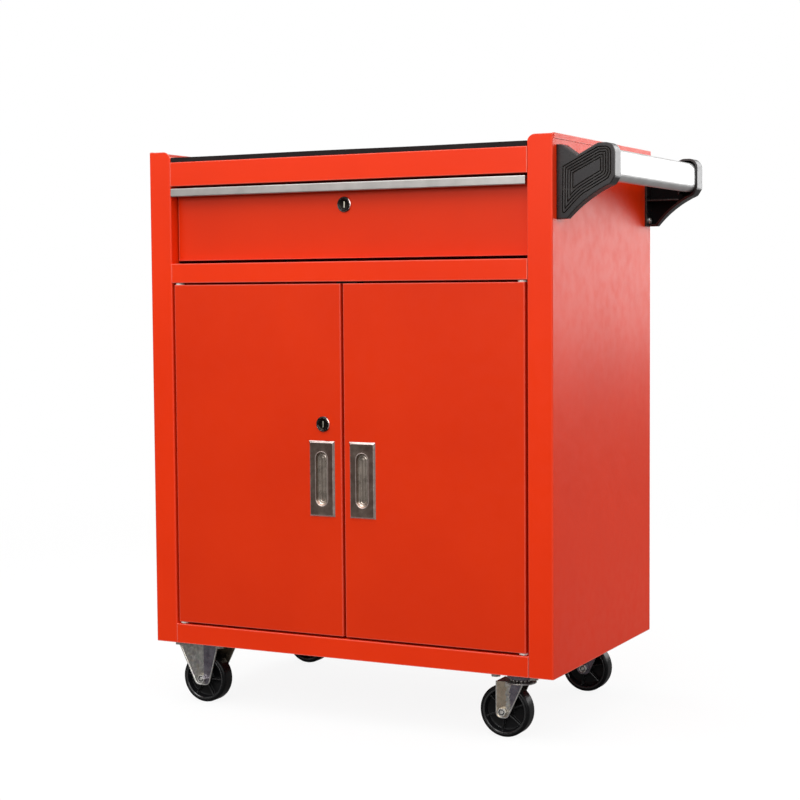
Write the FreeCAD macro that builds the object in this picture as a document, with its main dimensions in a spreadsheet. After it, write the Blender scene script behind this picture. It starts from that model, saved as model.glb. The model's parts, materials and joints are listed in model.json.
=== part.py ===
import FreeCAD, Part
import math
import os
import re
import Sketcher

# Rolling steel tool cabinet: one drawer over a two-door cupboard, a push handle on the
# right side and four casters. Every sub-part is drawn in the cabinet's own coordinates:
# X from the left side, Y back from the front plane, Z up from the lower edge of the body.
# The placement then moves it so that the origin is on the floor under the middle.

os.makedirs("parts", exist_ok=True)
doc = FreeCAD.newDocument("tool_cabinet")

DIMENSIONS = {
    # overall body and sheet
    "body_width": 660, "body_depth": 405, "body_height": 750, "ground_gap": 97,
    "skin": 1, "bend": 2, "fit": 0.2, "rear_gap": 0.5,
    # posts and side panels
    "post_width": 37.5, "post_return": 22, "post_round": 12, "rear_flange": 15,
    "notch_height": 14, "notch_start": 2,
    # work top and mat
    "top_level": 734, "top_rail_low": 698, "top_rail_return": 24, "hem_start": 5,
    "hem_drop": 6.5, "mat_thick": 7.5, "mat_gap": 0.6, "mat_side": 3, "mat_round": 1.5,
    # rails, cupboard floor and shelf
    "mid_rail_low": 552, "mid_rail_high": 581, "mid_rail_return": 14, "floor_level": 29.5,
    "shelf_level": 300, "shelf_front": 40, "shelf_lip": 15, "shelf_side": 4,
    "clip_reach": 15, "clip_height": 16, "clip_width": 20, "clip_wall": 1.5,
    "clip_front": 90, "clip_rear": 345,
    # doors
    "door_low": 33, "door_high": 549, "door_side": 41.5, "door_mid": 331.5, "door_gap": 4,
    "door_recess": 0.5, "door_depth": 16, "door_lip": 12,
    # door pivots
    "pivot_inset": 6, "pivot_back": 8, "pin_radius": 3, "pin_gap": 0.05, "pin_length": 14,
    "pin_head": 2, "pin_brim": 2, "bush_wall": 1.5, "bush_brim": 2, "bush_collar": 2.5,
    "bush_length": 9,
    # door catches
    "catch_width": 14, "catch_depth": 21.5, "catch_height": 16, "catch_offset": 10,
    "catch_gap": 0.5,
    # door pulls
    "pull_width": 43, "pull_height": 112, "pull_proud": 2.5, "pull_border": 3, "pull_wall": 1.5,
    "pull_slot_width": 20, "pull_slot_height": 82, "pull_depth": 12, "pull_level": 208,
    "left_pull_edge": 275, "right_pull_edge": 342,
    # locks
    "lock_flange": 11.25, "lock_face": 9.4, "lock_barrel": 9.2, "lock_plug": 6.4,
    "lock_play": 0.1, "lock_rise": 2.5, "lock_pocket": 1.5, "lock_proud": 0.5, "lock_end": 0.3,
    "lock_nut_wall": 4, "lock_nut_thick": 3, "key_half": 1.1, "key_reach": 4.5, "key_depth": 4,
    "cam_reach": 42, "cam_thick": 2.2, "cam_hub": 7, "cam_half": 6, "cam_screw": 1.6,
    "cam_hex": 4.5, "door_lock_side": 299.5, "door_lock_level": 344.5, "door_cam_back": 17.3,
    "drawer_lock_side": 329, "drawer_lock_level": 663.5, "drawer_cam_back": 9.8,
    # drawer
    "drawer_side": 40, "drawer_low": 585.5, "drawer_high": 692, "drawer_back_set": 17,
    "drawer_front_depth": 14, "box_low": 590, "box_high": 665, "box_back": 381,
    "strip_low": 682, "strip_high": 694.7, "strip_wall": 1.6, "strip_side": 38,
    "strip_short": 2.5, "strip_lip": 5, "strip_gap": 0.3, "strip_back": 2, "strip_hook": 4,
    # drawer slides
    "slide_low": 612, "slide_height": 45, "slide_start": 33, "slide_length": 350,
    "slide_wall": 1.2, "slide_width": 12.7, "rail_lip": 2.2, "runner_low": 619,
    "runner_height": 31, "runner_start": 4, "cage_start": 165, "cage_length": 190,
    "cage_gap": 0.9, "cage_wall": 0.8, "cage_half": 0.5, "cage_wing": 3, "ball_radius": 2.5,
    "support_low": 600, "support_high": 668,
    # handle brackets
    "bracket_front": 14, "bracket_depth": 25, "bracket_rear": 378, "bracket_low": 634.5,
    "bracket_high": 735.5, "bracket_reach": 84, "bracket_wall": 3, "bracket_sweep": 160,
    "bracket_foot": 15.5, "bracket_slim": 13, "bracket_chin": 45.5, "bracket_head": 24, "bracket_dip": 16,
    "bracket_valley": 29.5, "bracket_crest": 7, "chin_step": 6, "chin_rise": 10,
    "nose_round": 14, "chin_round": 8, "head_round": 10, "rib_level": 673, "rib_thick": 2,
    # handle tube and screws
    "tube_width": 26, "tube_height": 44, "tube_middle": 707, "tube_wall": 2, "tube_play": 0.2,
    "tube_flat": 0.5, "screw_low": 643, "screw_high": 724, "screw_radius": 2.4,
    "screw_length": 12, "screw_head": 2.8, "screw_brim": 4.6, "screw_play": 0.1,
    "cross_level": 1.4, "cross_reach": 2.6, "cross_half": 0.55,
    # caster plates, channels and their bolts
    "base_drop": 0, "plate_thick": 3, "plate_depth": 62, "plate_round": 7,
    "rigid_plate": 93, "swivel_plate": 76, "rigid_edge": 10, "swivel_edge": 9, "row_edge": 7.8,
    "rigid_axle": 64.5, "king_pin": 593, "caster_front": 44, "caster_rear": 361,
    "channel_wall": 1.5, "channel_width": 112, "channel_inset": 8,
    "bolt_radius": 4, "bolt_hole": 4.1, "bolt_head": 4, "bolt_length": 16, "nut_thick": 6.5,
    "hex_radius": 7,
    # caster frames
    "leg_thick": 2.5, "leg_gap": 14.5, "rigid_waist": 28, "rigid_toe": 10.5, "toe_left": 11,
    "toe_right": 12, "toe_round": 9, "trail": 21.5, "fork_front": 10, "fork_back": 11,
    "fork_toe": 9.5, "fork_nose": 7, "fork_round": 7.5, "crown_drop": 15.7, "crown_thick": 2.5,
    "crown_radius": 22, "race_drop": 11, "race_radius": 15, "race_ball": 2, "race_rim": 20,
    "king_radius": 5, "king_head": 9, "king_cap": 2.3, "king_drop": 2.6,
    # wheels and axles
    "wheel_radius": 38, "wheel_width": 24.5, "hub_radius": 10, "hub_play": 0.4, "web_half": 3,
    "rim_depth": 8, "rim_slope": 1, "tread_round": 3.5, "rib_half": 0.9, "rib_reach": 9,
    "axle_radius": 4, "axle_gap": 0.08, "axle_hex": 6.4, "axle_head": 5, "axle_nut": 6,
    "axle_spare": 8,
}

sheet = doc.addObject("Spreadsheet::Sheet", "Dims")
for row, (alias, size) in enumerate(DIMENSIONS.items(), start=1):
    sheet.set("A%d" % row, alias)
    sheet.set("B%d" % row, str(size))
    sheet.setAlias("B%d" % row, alias)
doc.recompute()


def expr(text):
    """An expression in which every dimension's name points at the spreadsheet."""
    def named(word):
        return ("Dims." if word.group(0) in DIMENSIONS else "") + word.group(0)

    return re.sub(r"[a-z]\w*", named, str(text))


def value(text):
    return float(sheet.evalExpression(expr(text)))


SHIFT_X = "-(body_width + bracket_reach - skin) / 2"
SHIFT_Y = "-(body_depth - pull_proud) / 2"
SHIFT_Z = "ground_gap"

sub_parts = []


def finish(item, label, at=("0", "0", "0")):
    """Name a sub-part and place its own origin at a point of the cabinet."""
    item.Label = label
    for axis, shift, place in zip("xyz", (SHIFT_X, SHIFT_Y, SHIFT_Z), at):
        item.setExpression(".Placement.Base." + axis, expr("%s + (%s)" % (shift, place)))
    sub_parts.append(item)
    return item


# ---------------------------------------------------------------- PartDesign helpers

SIGNS = {"XY": 1, "XZ": -1, "YZ": 1}


def start_body(label, at=("0", "0", "0")):
    return finish(doc.addObject("PartDesign::Body", label), label, at)


def origin_item(body, role):
    return [item for item in body.Origin.OriginFeatures if item.Role == role][0]


def start_sketch(body, plane, height):
    """A sketch parallel to one of the body's own origin planes."""
    sketch = body.newObject("Sketcher::SketchObject", "Sketch")
    sketch.AttachmentSupport = [(origin_item(body, plane + "_Plane"), "")]
    sketch.MapMode = "FlatFace"
    offset = height if SIGNS[plane] > 0 else "-(%s)" % height
    sketch.setExpression("AttachmentOffset.Base.z", expr(offset))
    return sketch


def pin_point(sketch, edge, vertex, across, up):
    """Tie a sketch point to two expressions."""
    for kind, text in (("DistanceX", across), ("DistanceY", up)):
        number = sketch.addConstraint(Sketcher.Constraint(kind, -1, 1, edge, vertex, value(text)))
        sketch.setExpression("Constraints[%d]" % number, expr(text))


def arc_between(start, end, radius, left):
    """The short arc between two points, with its centre on the left or right of the chord."""
    chord = end - start
    across = FreeCAD.Vector(-chord.y, chord.x, 0).normalize() * (1 if left else -1)
    rise = math.sqrt(radius ** 2 - (chord.Length / 2) ** 2)
    centre = (start + end) / 2 + across * rise
    return Part.Arc(start, centre - across * radius, end)


def draw_polygon(sketch, points):
    """Closed outline. A point may add (radius, centre on the left) when an arc leaves it."""
    first = sketch.GeometryCount
    corners = [FreeCAD.Vector(value(point[0]), value(point[1]), 0) for point in points]
    count = len(points)
    ends = []
    for index, point in enumerate(points):
        start, end = corners[index], corners[(index + 1) % count]
        if len(point) == 2:
            sketch.addGeometry(Part.LineSegment(start, end), False)
            ends.append((1, 2))
            continue
        number = sketch.addGeometry(arc_between(start, end, value(point[2]), point[3]), False)
        held = sketch.addConstraint(Sketcher.Constraint("Radius", number, value(point[2])))
        sketch.setExpression("Constraints[%d]" % held, expr(point[2]))
        ends.append((1, 2) if point[3] else (2, 1))
    for index in range(count):
        following = (index + 1) % count
        sketch.addConstraint(Sketcher.Constraint(
            "Coincident", first + index, ends[index][1], first + following, ends[following][0]))
    for index, point in enumerate(points):
        pin_point(sketch, first + index, ends[index][0], point[0], point[1])


def draw_circle(sketch, across, up, radius):
    centre = FreeCAD.Vector(value(across), value(up), 0)
    number = sketch.addGeometry(Part.Circle(centre, FreeCAD.Vector(0, 0, 1), value(radius)), False)
    pin_point(sketch, number, 3, across, up)
    held = sketch.addConstraint(Sketcher.Constraint("Radius", number, value(radius)))
    sketch.setExpression("Constraints[%d]" % held, expr(radius))


def draw(sketch, outlines):
    """Outlines are lists of points, or (across, up, radius) circles."""
    for outline in outlines:
        if isinstance(outline, tuple):
            draw_circle(sketch, *outline)
        else:
            draw_polygon(sketch, outline)


def rectangle(left, low, right, high):
    return [(left, low), (right, low), (right, high), (left, high)]


def add(body, plane, low, high, *outlines):
    """Pad the outlines from low to high along the plane's axis."""
    sketch = start_sketch(body, plane, low if SIGNS[plane] > 0 else high)
    draw(sketch, outlines)
    pad = body.newObject("PartDesign::Pad", "Pad")
    pad.Profile = sketch
    pad.setExpression("Length", expr("(%s) - (%s)" % (high, low)))
    doc.recompute()
    return pad


def cut(body, plane, low, high, *outlines):
    """Pocket the outlines between low and high, and check that metal really went."""
    before = body.Shape.Volume
    sketch = start_sketch(body, plane, high if SIGNS[plane] > 0 else low)
    draw(sketch, outlines)
    pocket = body.newObject("PartDesign::Pocket", "Pocket")
    pocket.Profile = sketch
    pocket.setExpression("Length", expr("(%s) - (%s)" % (high, low)))
    doc.recompute()
    if body.Shape.Volume > before - 1e-3:
        raise RuntimeError("a pocket in %s cuts nothing" % body.Label)
    return pocket


def straight_edges(shape, direction, places):
    """Names of the edges along an axis that pass through the given places."""
    axis = "xyz".index(direction)
    others = [number for number in range(3) if number != axis]
    names = []
    for number, edge in enumerate(shape.Edges, start=1):
        ends = [vertex.Point for vertex in edge.Vertexes]
        if len(ends) != 2 or abs(abs((ends[1] - ends[0])[axis]) - edge.Length) > 1e-4:
            continue
        for place in places:
            gaps = [abs(ends[0][other] - value(place[slot])) for slot, other in enumerate(others)]
            if max(gaps) < 1e-3:
                names.append("Edge%d" % number)
    return names


def soften(body, kind, direction, places, size):
    """Fillet or chamfer straight edges."""
    tip = body.Tip
    names = straight_edges(tip.Shape, direction, places)
    if not names:
        raise RuntimeError("no edge to soften in %s" % body.Label)
    feature = body.newObject("PartDesign::" + kind, kind)
    feature.Base = (tip, names)
    feature.setExpression("Radius" if kind == "Fillet" else "Size", expr(size))
    doc.recompute()
    if "Invalid" in feature.State:
        raise RuntimeError("a %s in %s fails" % (kind, body.Label))
    return feature


def hollow(body, places, wall):
    """Leave an even wall, open at the flat faces that look along Y at the given places."""
    tip = body.Tip
    levels = [value(place) for place in places]
    names = ["Face%d" % number for number, item in enumerate(tip.Shape.Faces, start=1)
             if min(abs(item.CenterOfMass.y - level) for level in levels) < 1e-3
             and abs(item.normalAt(0, 0).y) > 0.99]
    shell = body.newObject("PartDesign::Thickness", "Shell")
    shell.Base = (tip, names)
    shell.setExpression("Value", expr(wall))
    shell.Reversed = True
    doc.recompute()


# ---------------------------------------------------------------- Part helpers

def block(low, high):
    """A Part::Box between two corners, each three expressions."""
    item = doc.addObject("Part::Box", "Block")
    for side, axis, start, end in zip(("Length", "Width", "Height"), "xyz", low, high):
        item.setExpression(side, expr("(%s) - (%s)" % (end, start)))
        item.setExpression(".Placement.Base." + axis, expr(start))
    return item


TURNS = {
    "x": FreeCAD.Rotation(FreeCAD.Vector(0, 1, 0), 90),
    "y": FreeCAD.Rotation(FreeCAD.Vector(1, 0, 0), -90),
    "z": FreeCAD.Rotation(),
}


def rod(direction, start, length, radius, sides=0):
    """A cylinder, or a prism of so many sides, from a start point along an axis."""
    item = doc.addObject("Part::Prism" if sides else "Part::Cylinder", "Rod")
    item.Placement.Rotation = TURNS[direction]
    if sides:
        item.Polygon = sides
    item.setExpression("Circumradius" if sides else "Radius", expr(radius))
    item.setExpression("Height", expr(length))
    for axis, place in zip("xyz", start):
        item.setExpression(".Placement.Base." + axis, expr(place))
    return item


def ball(centre, radius):
    item = doc.addObject("Part::Sphere", "Ball")
    item.setExpression("Radius", expr(radius))
    for axis, place in zip("xyz", centre):
        item.setExpression(".Placement.Base." + axis, expr(place))
    return item


def join(*items):
    if len(items) == 1:
        return items[0]
    fusion = doc.addObject("Part::MultiFuse", "Joined")
    fusion.Shapes = list(items)
    fusion.Refine = True
    return fusion


def remove(base, *tools):
    item = doc.addObject("Part::Cut", "Cut")
    item.Base = base
    item.Tool = join(*tools)
    return item


def group(items):
    compound = doc.addObject("Part::Compound", "Set")
    compound.Links = list(items)
    return compound


def hex_nut(direction, start, thickness, across_corners, bore):
    """A nut whose bore just meets its bolt."""
    outer = rod(direction, start, thickness, across_corners, sides=6)
    return remove(outer, rod(direction, start, thickness, bore))


# ---------------------------------------------------------------- body shell

def mirrored(side, text):
    """The same distance measured from the left side or from the right side."""
    return text if side == "left" else "body_width - (%s)" % text


def side_panel(side):
    """One folded sheet: front post with its return, the side, and a rear flange."""
    body = start_body(side + "_side_panel")
    path = [
        ("rear_flange", "body_depth"), ("0", "body_depth"), ("0", "0"), ("post_width", "0"),
        ("post_width", "post_return"), ("post_width - skin", "post_return"),
        ("post_width - skin", "skin"), ("skin", "skin"), ("skin", "body_depth - skin"),
        ("rear_flange", "body_depth - skin"),
    ]
    add(body, "XY", "0", "body_height", [(mirrored(side, across), up) for across, up in path])
    outer = [("0", "0"), ("0", "body_depth"), ("post_width", "0")]
    inner = [("skin", "skin"), ("skin", "body_depth - skin"), ("post_width - skin", "skin")]
    soften(body, "Fillet", "z", [(mirrored(side, a), b) for a, b in outer], "bend")
    soften(body, "Fillet", "z", [(mirrored(side, a), b) for a, b in inner], "bend - skin")
    # the post's inner top corner is round
    drop = "body_height - post_round"
    cut(body, "XZ", "-1", "post_return + 1", [
        (mirrored(side, "post_width - post_round"), "body_height + 1"),
        (mirrored(side, "post_width + 1"), "body_height + 1"),
        (mirrored(side, "post_width + 1"), drop),
        (mirrored(side, "post_width"), drop, "post_round", side == "left"),
        (mirrored(side, "post_width - post_round"), "body_height"),
    ])
    # the return stops short of the caster bolts
    notch = rectangle("post_width - skin - 1", "notch_start", "post_width + 1", "post_return + 1")
    cut(body, "XY", "-1", "notch_height", [(mirrored(side, a), b) for a, b in notch])
    if side == "right":
        holes = [(depth, level, "screw_radius + screw_play") for depth, level in handle_places()]
        cut(body, "YZ", "body_width - skin - 1", "body_width + 1", *holes)


def deck_outline():
    """A sheet that fills the body between the side panels and steps in behind the posts."""
    step = "post_return + fit"
    back = "body_depth - 2 * skin"
    return [
        ("post_width", "skin"), ("body_width - post_width", "skin"),
        ("body_width - post_width", step), ("body_width - skin", step), ("body_width - skin", back),
        ("skin", back), ("skin", step), ("post_width", step),
    ]


def top_panel():
    """Work top with its front apron, side rims hooked over the side panels, and rear rim."""
    body = start_body("top_panel")
    rim = "top_level - skin"
    add(body, "XY", rim, "top_level", deck_outline())
    front = rectangle("post_width", "top_rail_low", "body_width - post_width", "top_level")
    add(body, "XZ", "0", "skin", front)
    add(body, "XY", "top_rail_low", "top_rail_low + skin",
        rectangle("post_width", "skin / 2", "body_width - post_width", "top_rail_return"))
    for side in ("left", "right"):
        hook = [
            ("skin", rim), ("2 * skin", rim), ("2 * skin", "body_height + skin"),
            ("-skin", "body_height + skin"), ("-skin", "body_height - hem_drop"),
            ("0", "body_height - hem_drop"), ("0", "body_height"), ("skin", "body_height"),
        ]
        start = "post_return + fit"
        add(body, "XZ", start, "body_depth - 2 * skin", [(mirrored(side, a), b) for a, b in hook])
        lip = [
            ("-skin", "body_height - hem_drop"), ("0", "body_height - hem_drop"),
            ("0", "body_height"), ("2 * skin", "body_height"),
            ("2 * skin", "body_height + skin"), ("-skin", "body_height + skin"),
        ]
        add(body, "XZ", "hem_start", start + " + fit", [(mirrored(side, a), b) for a, b in lip])
    add(body, "XZ", "body_depth - 3 * skin", "body_depth - 2 * skin",
        rectangle("skin", rim, "body_width - skin", "body_height + skin"))
    soften(body, "Fillet", "x", [("0", "top_level"), ("0", "top_rail_low")], "bend / 2")


def top_mat():
    """Rubber mat lying in the recess of the work top."""
    body = start_body("top_mat")
    near = "post_width + mat_gap"
    step = "post_return + skin"
    back = "body_depth - 4 * skin"
    half = [(near, "mat_gap"), (near, step), ("mat_side", step), ("mat_side", back)]
    other = [("body_width - (%s)" % across, depth) for across, depth in reversed(half)]
    add(body, "XY", "top_level", "top_level + mat_thick", half + other)
    soften(body, "Fillet", "x", [("mat_gap", "top_level + mat_thick")], "mat_round")


def back_panel():
    body = start_body("back_panel")
    add(body, "XZ", "body_depth - 2 * skin", "body_depth - skin",
        rectangle("bend", "0", "body_width - bend", "body_height"))


def bottom_panel():
    """Cupboard floor with its front apron, which is the lower rail."""
    body = start_body("bottom_panel")
    add(body, "XY", "floor_level - skin", "floor_level", deck_outline())
    front = rectangle("post_width", "0", "body_width - post_width", "floor_level")
    add(body, "XZ", "0", "skin", front)
    soften(body, "Fillet", "x", [("0", "floor_level")], "bend / 2")
    pins = [(mirrored(side, "door_side + pivot_inset"), "pivot_back", "pin_radius")
            for side in ("left", "right")]
    cut(body, "XY", "floor_level - 2 * skin", "floor_level + 1", *pins)


def mid_rail():
    """Channel between the drawer and the doors."""
    body = start_body("mid_rail")
    section = [
        ("0", "mid_rail_low"), ("post_return", "mid_rail_low"), ("post_return", "mid_rail_low + skin"),
        ("skin", "mid_rail_low + skin"), ("skin", "mid_rail_high - skin"),
        ("mid_rail_return", "mid_rail_high - skin"), ("mid_rail_return", "mid_rail_high"),
        ("0", "mid_rail_high"),
    ]
    add(body, "YZ", "post_width", "body_width - post_width", section)
    soften(body, "Fillet", "x", [("0", "mid_rail_low"), ("0", "mid_rail_high")], "bend / 2")
    pins = [(mirrored(side, "door_side + pivot_inset"), "pivot_back", "pin_radius")
            for side in ("left", "right")]
    cut(body, "XY", "mid_rail_low - 1", "mid_rail_low + 2 * skin", *pins)


def shelf():
    body = start_body("shelf")
    section = [
        ("shelf_front", "shelf_level - shelf_lip"), ("shelf_front + skin", "shelf_level - shelf_lip"),
        ("shelf_front + skin", "shelf_level - skin"),
        ("body_depth - 3 * skin", "shelf_level - skin"), ("body_depth - 3 * skin", "shelf_level"),
        ("shelf_front", "shelf_level"),
    ]
    add(body, "YZ", "shelf_side", "body_width - shelf_side", section)
    soften(body, "Fillet", "x", [("shelf_front", "shelf_level")], "bend / 2")


def shelf_clips():
    """Four angle clips that carry the shelf."""
    under = "shelf_level - skin"
    low = under + " - clip_height"
    clips = []
    for left, right, wall in (("skin", "skin + clip_reach", "skin + clip_wall"),
                              ("body_width - skin - clip_reach", "body_width - skin",
                               "body_width - skin - clip_wall")):
        for middle in ("clip_front", "clip_rear"):
            near = middle + " - clip_width / 2"
            far = middle + " + clip_width / 2"
            rest = block((left, near, under + " - clip_wall"), (right, far, under))
            plate = (block((left, near, low), (wall, far, under)) if left == "skin"
                     else block((wall, near, low), (right, far, under)))
            clips.append(join(plate, rest))
    finish(group(clips), "shelf_clips")


def slide_support(side):
    """Channel between the post and the back that carries one drawer slide."""
    body = start_body(side + "_slide_support")
    web = "post_width - slide_wall"
    section = [
        ("skin", "support_low"), ("post_width", "support_low"), ("post_width", "support_high"),
        ("skin", "support_high"), ("skin", "support_high - slide_wall"),
        (web, "support_high - slide_wall"), (web, "support_low + slide_wall"),
        ("skin", "support_low + slide_wall"),
    ]
    outline = [(mirrored(side, across), up) for across, up in section]
    add(body, "XZ", "post_return + 2 * skin", "body_depth - 2 * skin - rear_gap", outline)


def caster_channel(side):
    """Channel under the cupboard floor that two casters are bolted to."""
    body = start_body(side + "_caster_channel")
    inner = "channel_inset + channel_wall"
    outer = "channel_inset + channel_width"
    web = "channel_wall - base_drop"
    high = "floor_level - skin"
    section = [
        ("channel_inset", "-base_drop"), (outer, "-base_drop"), (outer, high),
        (outer + " - channel_wall", high), (outer + " - channel_wall", web), (inner, web),
        (inner, high), ("channel_inset", high),
    ]
    outline = [(mirrored(side, a), b) for a, b in section]
    add(body, "XZ", "2 * skin", "body_depth - 2 * skin - rear_gap", outline)
    cut(body, "XY", "-base_drop - 1", "channel_wall - base_drop + 1", *caster_holes(side))


# ---------------------------------------------------------------- doors

def door_span(side):
    """Outer edge and inner edge of a door."""
    if side == "left":
        return "door_side", "door_mid - door_gap / 2"
    return "body_width - door_side", "door_mid + door_gap / 2"


def pull_span(side):
    left = "left_pull_edge" if side == "left" else "right_pull_edge"
    return left, left + " + pull_width"


def door(side):
    """Pan of one folded sheet with stiffening lips, holed for its pull, pivots and lock."""
    body = start_body(side + "_door")
    outer, inner = door_span(side)
    left, right = (outer, inner) if side == "left" else (inner, outer)
    back = "door_recess + door_depth"
    add(body, "XZ", "door_recess", back, rectangle(left, "door_low", right, "door_high"))
    soften(body, "Fillet", "z", [(left, "door_recess"), (right, "door_recess")], "bend * 0.75")
    soften(body, "Fillet", "x", [("door_recess", "door_low"), ("door_recess", "door_high")], "bend / 2")
    cut(body, "XZ", "door_recess + skin", back + " + 1",
        rectangle(left + " + skin", "door_low + skin", right + " - skin", "door_high - skin"))
    lips = ((left + " + skin / 2", left + " + door_lip"), (right + " - door_lip", right + " - skin / 2"))
    for near, far in lips:
        lip = rectangle(near, "door_low + skin / 2", far, "door_high - skin / 2")
        add(body, "XZ", back + " - skin", back, lip)
    pull_left, pull_right = pull_span(side)
    cut(body, "XZ", "door_recess - 1", "door_recess + 2 * skin",
        rectangle(pull_left + " + pull_border", "pull_level + pull_border",
                  pull_right + " - pull_border", "pull_level + pull_height - pull_border"))
    pivot = outer + (" + pivot_inset" if side == "left" else " - pivot_inset")
    bush = "pin_radius + pin_gap + bush_wall"
    cut(body, "XY", "door_low - 1", "door_low + 2 * skin", (pivot, "pivot_back", bush))
    cut(body, "XY", "door_high - 2 * skin", "door_high + 1", (pivot, "pivot_back", bush))
    if side == "left":
        cut(body, "XZ", "door_recess - 1", "door_recess + 2 * skin",
            ("door_lock_side", "door_lock_level", "lock_barrel"))


def door_bushes(side):
    """Flanged nylon bushes in a door's lower and upper flange."""
    outer, inner = door_span(side)
    pivot = outer + (" + pivot_inset" if side == "left" else " - pivot_inset")
    bore = "pin_radius + pin_gap"
    bushes = []
    brim = bore + " + bush_wall + bush_brim"
    for flange, sleeve in (("door_low - bush_collar", "door_low"),
                           ("door_high", "door_high - bush_length")):
        collar = rod("z", (pivot, "pivot_back", flange), "bush_collar", brim)
        barrel = rod("z", (pivot, "pivot_back", sleeve), "bush_length", bore + " + bush_wall")
        low = "min(%s; %s) - 1" % (flange, sleeve)
        hole = rod("z", (pivot, "pivot_back", low), "bush_collar + bush_length + 2", bore)
        bushes.append(remove(join(collar, barrel), hole))
    finish(group(bushes), side + "_door_bushes")


def door_pins():
    """Headed pivot pins through the lower rail and the middle rail."""
    pins = []
    for side in ("left", "right"):
        pivot = mirrored(side, "door_side + pivot_inset")
        for head, start in (("floor_level - skin - pin_head", "floor_level - skin"),
                            ("mid_rail_low + skin", "mid_rail_low + skin - pin_length")):
            shank = rod("z", (pivot, "pivot_back", start), "pin_length", "pin_radius")
            cap = rod("z", (pivot, "pivot_back", head), "pin_head", "pin_radius + pin_brim")
            pins.append(join(shank, cap))
    finish(group(pins), "door_pivot_pins")


def door_catches():
    """Magnetic catches under the middle rail, just behind the doors' inner lips."""
    catches = []
    front = "door_recess + door_depth + catch_gap"
    for middle in ("door_mid - catch_offset", "door_mid + catch_offset"):
        low = ("%s - catch_width / 2" % middle, front, "mid_rail_low - catch_height")
        high = ("%s + catch_width / 2" % middle, front + " + catch_depth", "mid_rail_low")
        catches.append(block(low, high))
    finish(group(catches), "door_catches")


def door_pull(side):
    """Flush pull: a bevelled frame with a round-ended cup behind it."""
    left, right = pull_span(side)
    body = start_body(side + "_door_pull")
    low = "pull_level"
    high = "pull_level + pull_height"
    face = "door_recess - pull_proud"
    add(body, "XZ", face, "door_recess", rectangle(left, low, right, high))
    soften(body, "Chamfer", "x", [(face, low), (face, high)], "pull_proud * 0.85")
    soften(body, "Chamfer", "z", [(left, face), (right, face)], "pull_proud * 0.85")
    add(body, "XZ", "door_recess - fit", "door_recess + pull_depth",
        rectangle(left + " + pull_border", low + " + pull_border",
                  right + " - pull_border", high + " - pull_border"))
    middle = "(%s + %s) / 2" % (left, right)
    half = "pull_slot_width / 2"
    reach = "(pull_slot_height - pull_slot_width) / 2"
    centre = "pull_level + pull_height / 2"
    floor = "door_recess + pull_depth - pull_wall"
    cut(body, "XZ", face + " - 1", floor,
        rectangle("%s - %s" % (middle, half), "%s - %s" % (centre, reach),
                  "%s + %s" % (middle, half), "%s + %s" % (centre, reach)))
    cut(body, "XZ", face + " - 1", floor,
        (middle, "%s + %s" % (centre, reach), half),
        (middle, "%s - %s" % (centre, reach), half))


# ---------------------------------------------------------------- locks

def lock(name, side, level, panel, cam_back, cam_way):
    """Cam lock: housing and ring nut, turning plug, and a cam held by a screw."""
    def at(back):
        return (side, "%s + (%s)" % (panel, back), level)

    front = "-lock_rise - lock_play"
    flange = rod("y", at("-lock_rise"), "lock_rise", "lock_flange")
    barrel = rod("y", at("0"), cam_back + " - lock_end", "lock_barrel")
    recess = rod("y", at(front), "lock_pocket + lock_play", "lock_face + lock_play")
    bore = rod("y", at(front), cam_back + " + 2 * lock_rise", "lock_plug + lock_play")
    finish(remove(join(flange, barrel), recess, bore), name + "_housing")
    nut = hex_nut("y", at("skin"), "lock_nut_thick", "lock_barrel + lock_nut_wall", "lock_barrel")
    finish(nut, name + "_nut")
    face = rod("y", at("-lock_rise - lock_proud"), "lock_proud + lock_pocket - lock_play", "lock_face")
    core = rod("y", at("-lock_rise"), cam_back + " + lock_rise", "lock_plug")
    keyway = block(("%s - key_half" % side, panel + " - key_depth", "%s - key_reach" % level),
                   ("%s + key_half" % side, panel + " + key_depth", "%s + key_reach" % level))
    finish(remove(join(face, core), keyway), name + "_plug")
    hub = rod("y", at(cam_back), "cam_thick", "cam_hub")
    start = at(cam_back)[1]
    end = at(cam_back + " + cam_thick")[1]
    if cam_way == "left":
        arm = block(("%s - cam_reach" % side, start, "%s - cam_half" % level),
                    (side, end, "%s + cam_half" % level))
    else:
        arm = block(("%s - cam_half" % side, start, "%s - cam_reach" % level),
                    ("%s + cam_half" % side, end, level))
    screw = rod("y", at(cam_back + " + cam_thick"), "cam_screw", "cam_hex", sides=6)
    finish(join(hub, arm, screw), name + "_cam")


# ---------------------------------------------------------------- drawer

def drawer_front():
    """Set-back front pan, holed for the lock."""
    body = start_body("drawer_front")
    right = "body_width - drawer_side"
    back = "drawer_back_set + drawer_front_depth"
    add(body, "XZ", "drawer_back_set", back, rectangle("drawer_side", "drawer_low", right, "drawer_high"))
    soften(body, "Fillet", "z", [("drawer_side", "drawer_back_set"), (right, "drawer_back_set")], "bend / 2")
    soften(body, "Fillet", "x", [("drawer_back_set", "drawer_low")], "bend / 2")
    cut(body, "XZ", "drawer_back_set + skin", back + " + 1",
        rectangle("drawer_side + skin", "drawer_low + skin", right + " - skin", "drawer_high + 1"))
    # the folded sides stop below the hook of the pull strip
    cut(body, "XZ", "drawer_back_set + skin", back + " + 1",
        rectangle("drawer_side - 1", "strip_low + strip_hook / 2", right + " + 1", "drawer_high + 1"))
    cut(body, "XZ", "drawer_back_set - 1", "drawer_back_set + 2 * skin",
        ("drawer_lock_side", "drawer_lock_level", "lock_barrel"))


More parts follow.
